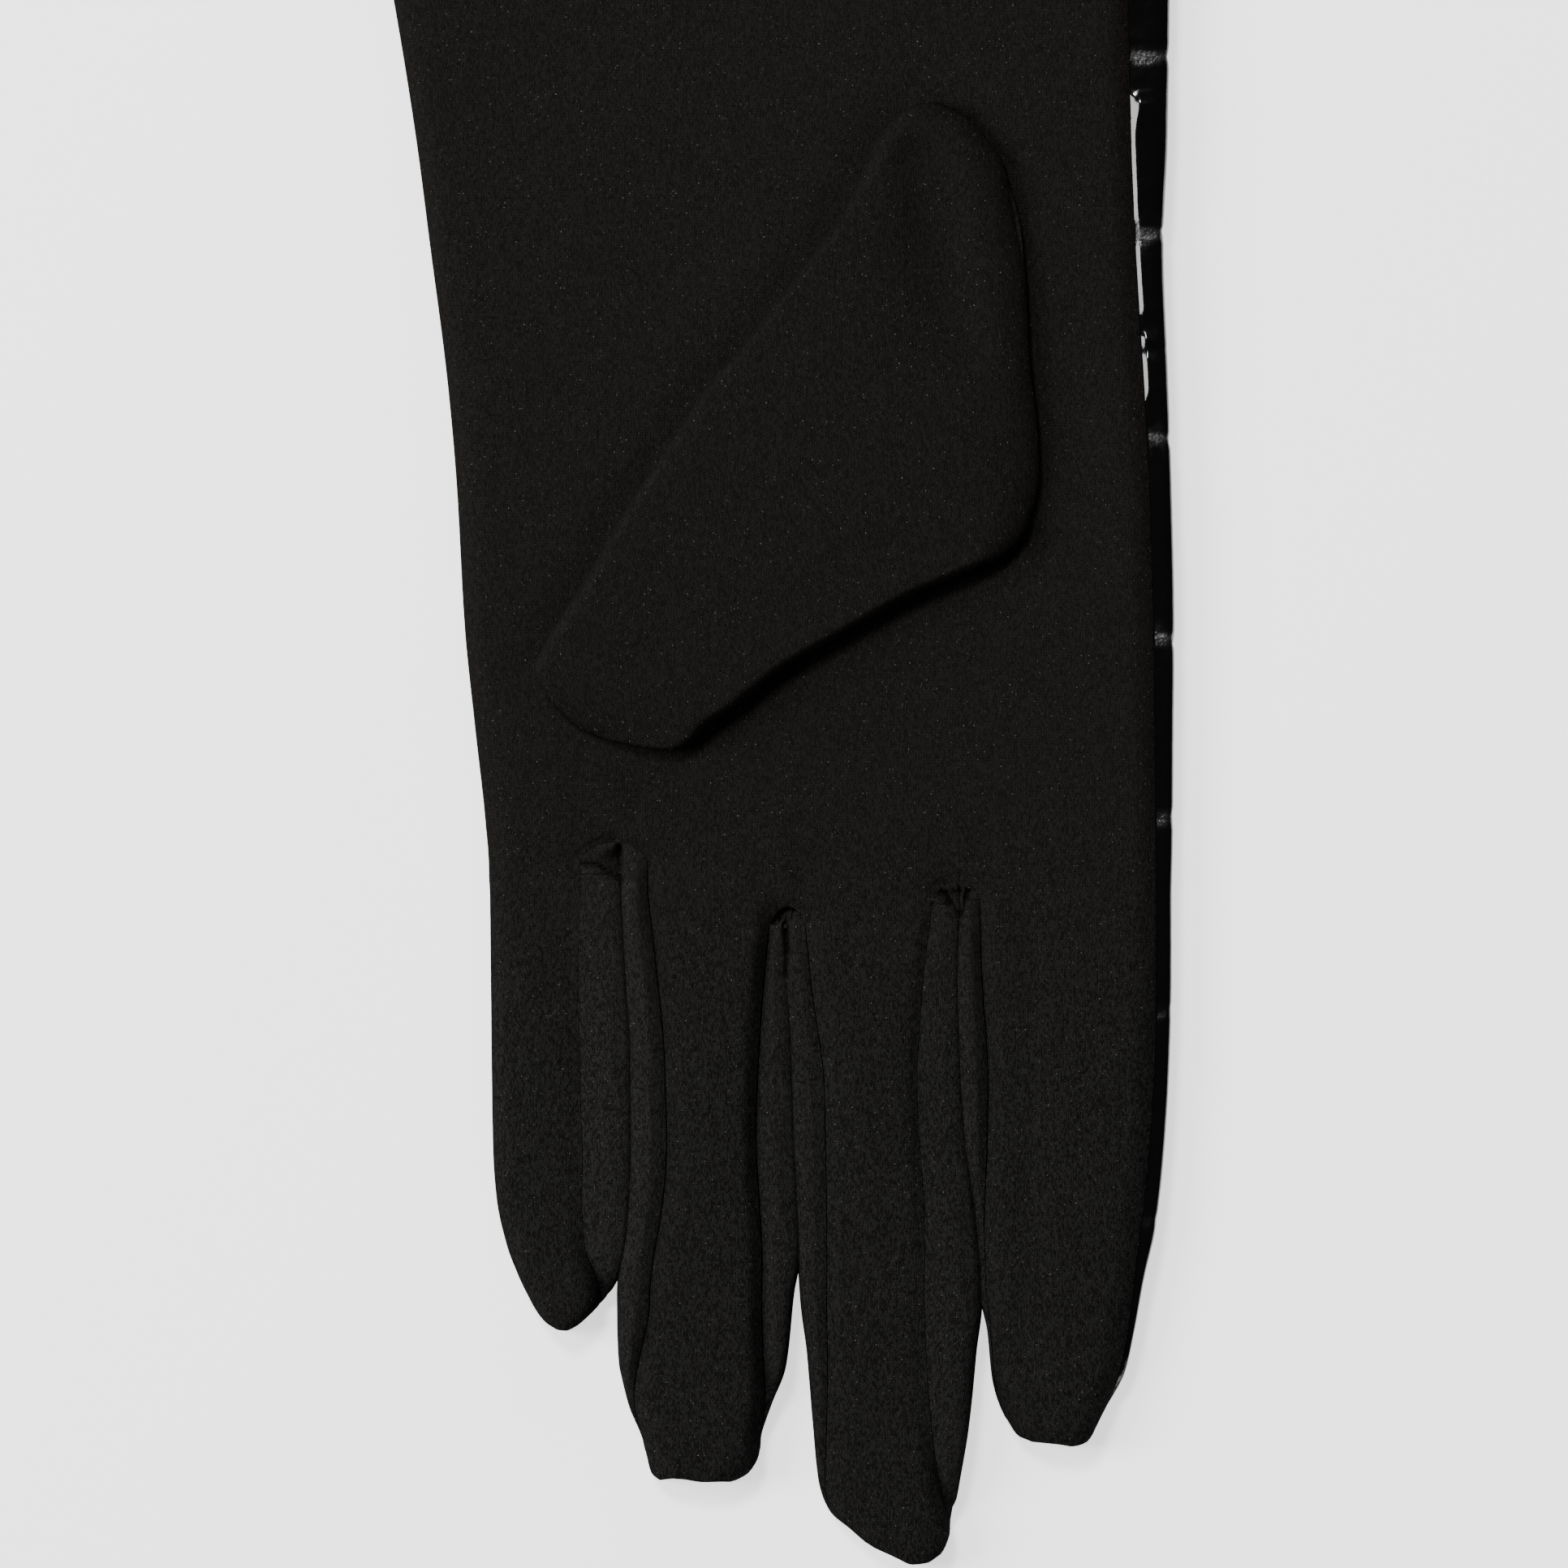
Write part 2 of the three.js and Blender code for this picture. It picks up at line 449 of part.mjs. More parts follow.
function backSheet() {
  const sheet = newSheet();
  const rootOf = (name) => webHeight(name) - webRun;
  const rowsOf = (finger, station) => {
    const left = fingerSide(finger, "left", station.left);
    const right = fingerSide(finger, "right", station.right);
    return backRow(station.right, left.foot, right.foot, !finger.right, right.rise, right.seam, station.left);
  };
  const stationsOf = (finger) => {
    const low = -0.25 * finger.length;
    const [fromLeft, fromRight] = [finger.left ? rootOf(finger.left) : 0, finger.right ? rootOf(finger.right) : 0];
    const root = [0, 0.1, 0.4, 0.7, 1].map((share) => ({ left: lerp(fromLeft, low, share), right: lerp(fromRight, low, share) }));
    return [...root, ...tipStations.map((share) => ({ left: -share * finger.length, right: -share * finger.length }))];
  };
  const first = fingers.map((finger) => {
    const row = rowsOf(finger, stationsOf(finger)[0]);
    const shiftTo = (from, to, point) => {
      for (const place of [point.at, point.inner]) place[0] += to - from;
    };
    if (finger.left) shiftTo(row[0].at[0], splitAt(finger.left, rootOf(finger.left)), row[0]);
    if (finger.right) shiftTo(row[3].at[0], splitAt(finger.right, rootOf(finger.right)), row[3]);
    return row;
  });
  const end = first.flatMap((row, i) => (i === 0 ? row : row.slice(1)));
  const flat = 4 * 3;
  const spots = end.map((point) => [...point.at]);
  const rowAt = (share, blend) => {
    const ys = spots.map((place) => lerp(place[1], share * bodyLength, blend));
    const row = [];
    const turn = (y) => {
      const body = clamp(y / bodyLength, 0, 1);
      const [left, seam, right] = ["left", "seam", "right"].map((name) => palmWidth * read(bodySides, name, body));
      return backRow(y, left, right, true, 1, seam);
    };
    for (let j = 0; j <= flat; j += 1) {
      const y = ys[j];
      const whole = turn(y);
      const x = lerp(whole[0].at[0], whole[3].at[0], (spots[j][0] - spots[0][0]) / (spots[flat][0] - spots[0][0]));
      const thick = whole[j ? 3 : 0].inner[2];
      row.push({ at: [x, y, 0], inner: [x, y, thick] });
    }
    return [...row, ...turn(ys[flat]).slice(4)];
  };
  let upper = null;
  for (const [share, blend] of [...bodyStations.map((share) => [share, 1]), [0.078, 0.5]]) {
    const lower = addRow(sheet, rowAt(share, blend));
    if (upper) joinRows(sheet, upper, lower, true);
    upper = lower;
  }
  const endLine = addRow(sheet, end);
  joinRows(sheet, upper, endLine, true);
  fingers.forEach((finger, i) => {
    const size = first[i].length;
    let above = endLine.slice(i * 3, i * 3 + size);
    for (const station of stationsOf(finger).slice(1)) {
      const below = addRow(sheet, rowsOf(finger, station));
      joinRows(sheet, above, below, true);
      above = below;
    }
  });
  return sheet;
}

// A gusset runs up the side of one finger, round the web and down the side of the next.
function gussetRow(finger, side, y) {
  const sign = side === "left" ? -1 : 1;
  const split = finger[side];
  const web = webTops[split];
  const near = clamp((y - palmWidth * web.up + webLength) / webLength, 0, 1);
  const footY = y - webRun * ease(near);
  const { rise, seam } = fingerSide(finger, side, y);
  const { foot } = fingerSide(finger, side, footY);
  const cut = seamCut(rise);
  const gap = seamGap * lerp(1, 1.5, near);
  const top = [seam + sign * gap * cut.up * Math.sqrt(1 - near ** 4), frontTop(rise, seamDepth) - gap * cut.out];
  const apex = near >= 1;
  const [footX, topX] = apex ? [splitAt(split, footY), palmWidth * web.across] : [foot, top[0]];
  return [0, 0.33, 0.67, 1].map((share) => ({
    at: [
      lerp(footX, topX, share) + (apex ? 0 : sign * 0.3 * Math.sin(Math.PI * share)),
      lerp(footY, y - gap * cut.up * near ** 2, share),
      lerp(tableEdge, top[1], share),
    ],
    rise: share === 0 ? 0 : share === 1 ? rise : undefined,
  }));
}
function gussetSheet(leftFinger, rightFinger) {
  const sheet = newSheet();
  const ysOf = (finger, side) => fingerStations(finger).map((station) => station[side])
    .filter((y) => -y / finger.length <= 0.905);
  const rows = [
    ...ysOf(leftFinger, "right").reverse().map((y) => gussetRow(leftFinger, "right", y)),
    ...ysOf(rightFinger, "left").slice(1).map((y) => gussetRow(rightFinger, "left", y)),
  ];
  const lines = rows.map((row) => addRow(sheet, row));
  for (let i = 0; i + 1 < lines.length; i += 1) joinRows(sheet, lines[i], lines[i + 1]);
  return sheet;
}

// The thumb is a flattened bag on the palm. A tube is closed rows of the same count, capped at its ends.
function tubeFrom(rows) {
  const count = rows[0].length;
  const triangles = [];
  for (let i = 0; i + 1 < rows.length; i += 1) {
    for (let j = 0; j < count; j += 1) {
      const next = (j + 1) % count;
      const [a, b, c, d] = [i * count + j, i * count + next, (i + 1) * count + next, (i + 1) * count + j];
      triangles.push(a, d, c, a, c, b);
    }
  }
  for (let j = 1; j + 1 < count; j += 1) {
    const end = (rows.length - 1) * count;
    triangles.push(0, j, j + 1, end, end + j + 1, end + j);
  }
  return solidFrom(rows.flat(), triangles);
}
function thumbRow(at, inset) {
  const turn = (thumbTurn * Math.PI) / 180;
  const along = [-Math.sin(turn), -Math.cos(turn)];
  const aside = [Math.cos(turn), -Math.sin(turn)];
  const start = [palmWidth * thumbTop.across, bodyLength * thumbTop.up];
  const base = gloveHeight + seamGap + inset;
  const [left, right] = [thumbWidth * read(thumbRows, "left", at) + inset, thumbWidth * read(thumbRows, "right", at) - inset];
  const top = base - inset + thumbHeight * read(thumbRows, "full", at) - inset;
  const round = Math.min(4.2 - inset, (right - left) * 0.4);
  const foot = Math.min(1.6, round);
  const middle = base + (top - base) * 0.42;
  const loop = [];
  const put = (off, z) => {
    loop.push([0, 1].map((axis) => start[axis] + along[axis] * thumbLength * at + aside[axis] * off).concat(z));
  };
  const steps = [0, 0.33, 0.67, 1];
  for (const step of steps) {
    const angle = (step * Math.PI) / 2;
    put(left + round * (1 - Math.cos(angle)), lerp(middle, top, Math.sin(angle)));
  }
  for (const step of [0.33, 0.67]) put(lerp(left + round, right - round, step), top);
  for (const step of [...steps].reverse()) {
    const angle = (step * Math.PI) / 2;
    put(right - round * (1 - Math.cos(angle)), lerp(middle, top, Math.sin(angle)));
  }
  for (const step of [0.5, 1]) {
    const angle = (step * Math.PI) / 2;
    put(right - foot * (1 - Math.cos(angle)), lerp(middle, base, Math.sin(angle)));
  }
  for (const step of [0.33, 0.67]) put(lerp(right - foot, left + foot, step), base);
  for (const step of [1, 0.5]) {
    const angle = (step * Math.PI) / 2;
    put(left + foot * (1 - Math.cos(angle)), lerp(middle, base, Math.sin(angle)));
  }
  return loop;
}
function holePrism(low, high) {
  const turn = (thumbHole.turn * Math.PI) / 180;
  const sides = 36;
  const ring = Array.from({ length: sides }, (_, i) => {
    const angle = (i / sides) * 2 * Math.PI;
    const [x, y] = [palmWidth * thumbHole.wide * Math.cos(angle), bodyLength * thumbHole.long * Math.sin(angle)];
    return [
      palmWidth * thumbHole.across + x * Math.cos(turn) - y * Math.sin(turn),
      bodyLength * thumbHole.up + x * Math.sin(turn) + y * Math.cos(turn),
    ];
  });
  return tubeFrom([ring.map((place) => [...place, high]), ring.map((place) => [...place, low])]);
}
function thumbSolid() {
  const stations = [];
  for (let i = 0; i + 1 < thumbRows.length; i += 1) {
    stations.push(thumbRows[i].at);
    if (thumbRows[i + 1].at - thumbRows[i].at > 0.06) stations.push((thumbRows[i].at + thumbRows[i + 1].at) / 2);
  }
  stations.push(1);
  const outer = tubeFrom(stations.map((at) => thumbRow(at, 0)));
  const inner = tubeFrom(stations.filter((at) => at > 0.03 && at < 0.975).map((at) => thumbRow(at, jerseyWall)));
  const hole = holePrism(gloveHeight, gloveHeight + seamGap + 2 * jerseyWall);
  return outer.subtract(inner).subtract(hole);
}

const palm = thicken(palmSheet(), jerseyWall).subtract(holePrism(2, gloveHeight + 2));
const pieces = {
  palm_panel: palm,
  back_panel: thicken(backSheet(), patentWall),
  thumb: thumbSolid(),
  fourchette_little_ring: thicken(gussetSheet(fingers[0], fingers[1]), jerseyWall),
  fourchette_ring_middle: thicken(gussetSheet(fingers[1], fingers[2]), jerseyWall),
  fourchette_middle_index: thicken(gussetSheet(fingers[2], fingers[3]), jerseyWall),
};
const tones = { palm_panel: 0x2b2826, back_panel: 0x101012, thumb: 0x332f2c };

const glove = new THREE.Group();
glove.name = "wrist_length_dress_glove";
const whole = new THREE.Box3();
for (const [name, solid] of Object.entries(pieces)) {
  const { vertProperties, triVerts } = solid.getMesh();
  const geometry = new THREE.BufferGeometry();
  geometry.setAttribute("position", new THREE.BufferAttribute(vertProperties, 3));
  geometry.setIndex(new THREE.BufferAttribute(triVerts, 1));
  geometry.computeVertexNormals();
  geometry.computeBoundingBox();
  whole.union(geometry.boundingBox);
  const mesh = new THREE.Mesh(geometry, new THREE.MeshStandardMaterial({ color: tones[name] ?? 0x3c3834 }));
  mesh.name = name;
  glove.add(mesh);
}
const middle = whole.getCenter(new THREE.Vector3());
for (const mesh of glove.children) mesh.geometry.translate(-middle.x, -middle.y, -whole.min.z);
export default glove;
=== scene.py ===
import math
import bpy
import numpy as np
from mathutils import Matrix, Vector


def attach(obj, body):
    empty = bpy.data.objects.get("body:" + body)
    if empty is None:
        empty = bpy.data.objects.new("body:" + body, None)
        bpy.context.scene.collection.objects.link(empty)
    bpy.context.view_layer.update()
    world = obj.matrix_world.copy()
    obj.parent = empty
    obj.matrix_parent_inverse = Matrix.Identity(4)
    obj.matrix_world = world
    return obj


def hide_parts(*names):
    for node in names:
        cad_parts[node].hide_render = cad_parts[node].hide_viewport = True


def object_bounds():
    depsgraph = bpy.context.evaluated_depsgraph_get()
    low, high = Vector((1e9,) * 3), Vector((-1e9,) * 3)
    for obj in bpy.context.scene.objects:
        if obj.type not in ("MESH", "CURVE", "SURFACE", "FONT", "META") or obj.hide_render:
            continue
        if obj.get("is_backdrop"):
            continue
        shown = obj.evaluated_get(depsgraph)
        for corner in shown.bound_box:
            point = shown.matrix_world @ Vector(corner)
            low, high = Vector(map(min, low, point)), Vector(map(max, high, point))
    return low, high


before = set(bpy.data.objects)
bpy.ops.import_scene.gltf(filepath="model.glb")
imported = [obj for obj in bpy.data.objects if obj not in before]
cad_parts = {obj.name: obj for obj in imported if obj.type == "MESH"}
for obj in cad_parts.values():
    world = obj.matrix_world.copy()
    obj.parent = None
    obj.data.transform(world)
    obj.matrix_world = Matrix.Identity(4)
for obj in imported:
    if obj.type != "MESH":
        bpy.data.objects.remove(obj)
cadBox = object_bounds()
print("frame loaded")

# The hand, in millimetres from the middle of the knuckles, and the cloth.
hand = {
    "palmWidth": 88.0, "bodyLength": 143.0, "height": 7.8, "jerseyWall": 1.1, "patentWall": 1.0,
    "seamGap": 0.1, "webDrop": 0.9, "seamRound": 2.1, "sideRound": 4.8, "edgeDrop": 1.7, "edgeRound": 3.2,
    "fingerGap": -0.06, "boxy": 3.4, "webLength": 8.0, "webRun": 3.4, "archLength": 3.2, "endBow": 1.8,
    "hemLength": 11.0, "hemWall": 0.6, "clearance": 0.3, "webFade": 5.0, "webGap": 0.06, "fanFrom": 0.078,
    "fanRate": 1.6, "tipWave": 0.3,
}
pixel, knuckles = 0.105, (1023.5, 1100.0)  # millimetres in a pixel of the photograph, and their middle in it
shift = np.array([8.712, -28.0, 0.0])  # from the knuckles' middle to the part's own origin
tableEdge = hand["patentWall"] + hand["clearance"]  # where a side that stands on the back begins

body = {
    "at": [0, 0.06, 0.15, 0.24, 0.37, 0.46, 0.59, 0.68, 0.81, 1],
    "left": [-0.502, -0.508, -0.524, -0.539, -0.551, -0.564, -0.591, -0.61, -0.644, -0.704],
    "seam": [0.478, 0.477, 0.476, 0.474, 0.468, 0.46, 0.447, 0.441, 0.437, 0.433],
    "right": [0.502, 0.504, 0.505, 0.506, 0.502, 0.497, 0.49, 0.496, 0.499, 0.5],
}
splits = {
    "at": [0, 0.12, 0.24, 0.36, 0.48, 0.6, 1],
    "littleRing": [-0.307, -0.301, -0.294, -0.293, -0.297, -0.312, -0.32],
    "ringMiddle": [-0.066, -0.064, -0.058, -0.054, -0.048, -0.045, -0.04],
    "middleIndex": [0.191, 0.187, 0.19, 0.198, 0.211, 0.222, 0.225],
}
webShares = {"littleRing": (-0.318, 0.075), "ringMiddle": (-0.063, -0.02), "middleIndex": (0.19, 0.019)}
webs = {name: [hand["palmWidth"] * share for share in place] for name, place in webShares.items()}
stations = [0, 0.15, 0.3, 0.45, 0.6, 0.7, 0.8, 0.87, 0.92, 0.96, 0.985, 1]
fingers = {
    "little": {
        "length": 56.8, "splits": (None, "littleRing"), "drops": (0, 0.3), "gaps": (0, 0.08), "at": stations,
        "left": [-0.502, -0.501, -0.5, -0.499, -0.497, -0.492, -0.478, -0.461, -0.445, -0.431, -0.418, -0.4],
        "leftSeam": [0] * len(stations),
        "rightIn": [0, 0, 0, 0, 0, 0, 0, 0.003, 0.014, 0.038, 0.057, 0.077],
        "rightSeam": [0.062, 0.069, 0.075, 0.075, 0.072, 0.071, 0.06, 0.034, 0.012, 0, 0, 0],
    },
    "ring": {
        "length": 76.2, "splits": ("littleRing", "ringMiddle"), "drops": (1.5, 1.7),
        "gaps": (0.2, 0.24), "at": stations,
        "leftIn": [0, 0, 0, 0, 0, 0.002, 0.005, 0.018, 0.036, 0.047, 0.053, 0.067],
        "leftSeam": [0.039, 0.047, 0.051, 0.053, 0.046, 0.045, 0.028, 0.01, 0.003, 0, 0, 0],
        "rightIn": [0, 0, 0, 0, 0.001, 0.011, 0.022, 0.044, 0.058, 0.064, 0.077, 0.107],
        "rightSeam": [0.02, 0.036, 0.051, 0.058, 0.055, 0.047, 0.035, 0.011, 0.003, 0, 0, 0],
    },
    "middle": {
        "length": 87.0, "splits": ("ringMiddle", "middleIndex"), "drops": (0.9, 0.5),
        "gaps": (0.15, 0.09), "at": stations,
        "leftIn": [0, 0, 0, 0, 0.003, 0.01, 0.017, 0.023, 0.038, 0.081, 0.126, 0.16],
        "leftSeam": [0.025, 0.037, 0.048, 0.044, 0.037, 0.03, 0.02, 0.011, 0.003, 0, 0, 0],
        "rightIn": [0, 0, 0, 0, 0.002, 0.01, 0.021, 0.033, 0.042, 0.05, 0.061, 0.083],
        "rightSeam": [0.04, 0.054, 0.067, 0.072, 0.083, 0.073, 0.055, 0.034, 0.014, 0, 0, 0],
    },
    "index": {
        "length": 71.6, "splits": ("middleIndex", None), "drops": (1.4, 0),
        "gaps": (0.19, 0), "at": stations,
        "leftIn": [0, 0, 0, 0, 0, 0, 0.009, 0.014, 0.024, 0.04, 0.052, 0.074],
        "leftSeam": [0.029, 0.036, 0.041, 0.032, 0.014, 0.008, 0.005, 0.004, 0.002, 0, 0, 0],
        "right": [0.502, 0.502, 0.499, 0.492, 0.479, 0.461, 0.446, 0.433, 0.413, 0.393, 0.38, 0.352],
        "rightSeam": [0.024, 0.024, 0.023, 0.023, 0.023, 0.015, 0.01, 0.008, 0.003, 0, 0, 0],
    },
}
tips = {
    "at": [0, 0.7, 0.8, 0.87, 0.92, 0.96, 0.985, 0.996, 1],
    "rise": [1, 1, 0.95, 0.75, 0.38, 0, 0, 0, 0],
    "crown": [1, 1, 1, 1, 0.99, 0.97, 0.92, 0.84, 0],
}


def lerp(low, high, share):
    return low + (high - low) * share


def ease(share):
    share = np.clip(share, 0, 1)
    return share * share * (3 - 2 * share)


def readTable(table, name, at):  # a smooth curve through a table's column that never overshoots
    xs, ys = np.array(table["at"], float), np.array(table[name], float)
    step = np.diff(xs)
    rate = np.diff(ys) / step
    slope = np.empty_like(ys)
    slope[0], slope[-1] = rate[0], rate[-1]
    before, after = rate[:-1], rate[1:]
    turning = before * after <= 0
    slope[1:-1] = np.where(turning, 0, 2 * before * after / np.where(turning, 1, before + after))
    at = np.clip(np.asarray(at, float), xs[0], xs[-1])
    i = np.clip(np.searchsorted(xs, at, side="right") - 1, 0, len(step) - 1)
    t = (at - xs[i]) / step[i]
    return (ys[i] * (1 + 2 * t) * (1 - t) ** 2 + slope[i] * step[i] * t * (1 - t) ** 2
            + ys[i + 1] * t * t * (3 - 2 * t) + slope[i + 1] * step[i] * t * t * (t - 1))


def bodyEdge(side, up):  # how far across an edge of the body lies, at a share of its length
    return hand["palmWidth"] * readTable(body, side, up)


def splitLine(split, y):  # how far across two fingers part
    return hand["palmWidth"] * readTable(splits, split, -y / fingers["middle"]["length"])


def seamCut(rise):  # which way a seam's cut leans: level at the table, half upright beside a front
    out, up = lerp(1, 0.72, rise), lerp(0, 0.7, rise)
    size = np.hypot(out, up)
    return out / size, up / size


def fingerSide(finger, side, y):  # where a finger's side stands, where its front's seam runs, how high
    sign = -1 if side == "left" else 1
    y = np.asarray(y, float)
    at = -y / finger["length"]
    split = finger["splits"][0 if side == "left" else 1]
    rise = readTable(tips, "rise", at)
    wide = hand["palmWidth"]
    seamIn = wide * readTable(finger, side + "Seam", at)
    if split is None:
        up = y / hand["bodyLength"]
        foot = wide * np.where(y > 0, readTable(body, side, up), readTable(finger, side, at))
        if side == "left":
            return foot, foot, rise * 0
        stripe = np.where(y > 0, foot - wide * readTable(body, "seam", up), seamIn)
        return foot, foot - stripe, rise
    back = hand["fingerGap"] / 2 + wide * readTable(finger, side + "In", at)
    foot = splitLine(split, y) - sign * back
    across, up = webs[split]
    arch = np.clip((up - y) / hand["archLength"], 0, 1)
    seam = lerp(across, foot - sign * seamIn, np.sqrt(1 - (1 - arch) ** 2))
    return foot, seam, rise


def seamDrop(finger, k, y):  # how far a seam lies below the cloth beside it
    if finger["splits"][k] is None:
        return hand["edgeDrop"]
    below = webs[finger["splits"][k]][1] - y
    return lerp(hand["webDrop"], finger["drops"][k], ease(below / hand["webFade"]))


def seamSpace(finger, k, y):  # how far a seam gapes, least beside its web
    below = webs[finger["splits"][k]][1] - y
    return lerp(hand["webGap"], finger["gaps"][k], ease(below / hand["webFade"]))


def frontTop(rise, drop):
    return lerp(tableEdge, hand["height"] - drop, rise)


def ripple(x, y, size, seed):  # smooth unevenness between about -1 and 1
    draw = np.random.default_rng(seed)
    total = 0
    for _ in range(7):
        turn, phase = draw.uniform(0, 2 * math.pi, 2)
        wave = size * draw.uniform(0.7, 1.6)
        total = total + np.sin((x * math.cos(turn) + y * math.sin(turn)) * 2 * math.pi / wave + phase)
    return total / 3.2


def puckers(along, away, seed):  # the small gathers that a sewn seam leaves beside it
    wobble = ripple(along, along * 0, 3.1, seed) + 0.6 * ripple(along, along * 0, 1.7, seed + 1)
    return 0.05 * wobble * np.exp(-((away - 0.9) / 1.1) ** 2)


crumple = {  # depths, widths and places of the palm's soft forms, in millimetres
    "long": (0.22, 42, 3), "short": (0.1, 17, 4),  # each a depth, a size and a seed
    "webDepth": 0.5, "webWidth": 5.5, "rays": 5, "rayDepth": 0.16, "rayAway": 6, "rayWidth": 4,
    "fold": (25.6, 1.9, 0.34), "besideFold": (29.4, 2.2, 0.14),  # each a place across, a width and a depth
    "dimple": (27.2, 44.6), "dimpleSpread": 5.5, "ridge": 0.45,
}


def palmRelief(x, y):
    low = sum(depth * ripple(x, y, size, seed) for depth, size, seed in (crumple["long"], crumple["short"]))
    for across, up in webs.values():  # the cloth is drawn towards each web
        dx, dy = x - across, y - up
        away = np.hypot(dx, dy)
        low = low - crumple["webDepth"] * np.exp(-(away / crumple["webWidth"]) ** 2) \
            + crumple["rayDepth"] * np.cos(crumple["rays"] * np.arctan2(dx, dy)) \
            * np.exp(-((away - crumple["rayAway"]) / crumple["rayWidth"]) ** 2)
    (fold, wide, deep), (beside, besideWide, high) = crumple["fold"], crumple["besideFold"]
    onIndex = ease((2 - y) / 8) * ease((y + 66) / 14)
    low = low - deep * np.exp(-((x - fold) / wide) ** 2) * onIndex \
        + high * np.exp(-((x - beside) / besideWide) ** 2) * onIndex
    pinchX, pinchY = crumple["dimple"]  # the cloth is pinched at the thumb's lower right corner
    dimple = np.exp(-((x - pinchX) ** 2 + (y - pinchY) ** 2) / crumple["dimpleSpread"])
    ridge = np.exp(-((x - 25.4 + (y - 44) * 0.5) / 0.9) ** 2 - ((y - 43.5) / 2.2) ** 2)
    return low - dimple + crumple["ridge"] * ridge


class Grid:  # rows and columns of points in millimetres, with the cloth's own grain beside them
    def __init__(self, points, grain, rise=None, inner=None, groove=None, flip=False):
        self.points, self.grain, self.flip = points, grain, flip
        self.rise = np.full(points.shape[:2], np.nan) if rise is None else rise
        self.inner = np.full(points.shape, np.nan) if inner is None else inner
        self.groove = np.zeros(points.shape[:2]) if groove is None else groove


def grainOf(points, column):  # arc length across from one column, and the place along
    step = np.linalg.norm(np.diff(points[:, :, ::2], axis=1), axis=2)
    along = np.concatenate([np.zeros((len(points), 1)), np.cumsum(step, axis=1)], axis=1)
    across = along - along[:, column:column + 1] + points[:, column:column + 1, 0]
    return np.stack([across, points[:, :, 1]], axis=2)


def thickAt(y, wall):
    return wall + hand["hemWall"] * ease((y - hand["bodyLength"] + hand["hemLength"]) / 1.4)


def vertexNormals(points, quads):
    a, b, c, d = (points[quads[:, k]] for k in range(4))
    face = np.cross(c - a, d - b)
    normals = np.zeros_like(points)
    for k in range(4):
        np.add.at(normals, quads[:, k], face)
    return normals / np.maximum(np.linalg.norm(normals, axis=1, keepdims=True), 1e-9)


thumbHole = {"across": 0.213, "up": 0.5, "wide": 0.066, "long": 0.15, "turn": -6.0}


def openHole(points, given, quads, mayOpen):  # leaves out the faces of the thumb's hole, with a smooth rim
    middle = np.array([hand["palmWidth"] * thumbHole["across"], hand["bodyLength"] * thumbHole["up"]])
    turn = math.radians(thumbHole["turn"])
    x, y = (points[:, :2] - middle).T
    along = (-x * math.sin(turn) + y * math.cos(turn)) / (hand["bodyLength"] * thumbHole["long"])
    aside = (x * math.cos(turn) + y * math.sin(turn)) / (hand["palmWidth"] * thumbHole["wide"])
    share = np.where(mayOpen, np.hypot(along, aside), 2.0)
    inside = share < 1
    quads = quads[~np.all(inside[quads], axis=1)]
    rim = np.unique(quads[inside[quads]])
    points[rim, :2] = middle + (points[rim, :2] - middle) / np.maximum(share[rim, None], 0.05)
    given[rim, :2] = points[rim, :2]
    return quads


def markSharp(mesh, rim):  # the cut edges of a cloth keep their crease
    ends = np.zeros(len(mesh.edges) * 2, dtype=np.int32)
    mesh.edges.foreach_get("vertices", ends)
    many = len(mesh.vertices)
    keys, rimKeys = (pairs.min(axis=1) * many + pairs.max(axis=1)
                     for pairs in (ends.reshape(-1, 2).astype(np.int64), rim))
    layer = mesh.attributes.get("sharp_edge") or mesh.attributes.new("sharp_edge", "BOOLEAN", "EDGE")
    marks = np.zeros(len(mesh.edges), dtype=bool)
    layer.data.foreach_get("value", marks)
    layer.data.foreach_set("value", marks | np.isin(keys, rimKeys))


def addObject(name, data):
    thing = bpy.data.objects.new(name, data)
    bpy.context.scene.collection.objects.link(thing)
    return thing


def joinRows(rows):  # rows laid end to end, with the point that neighbours share only once
    return np.concatenate([row[0 if i == 0 else 1:] for i, row in enumerate(rows)])


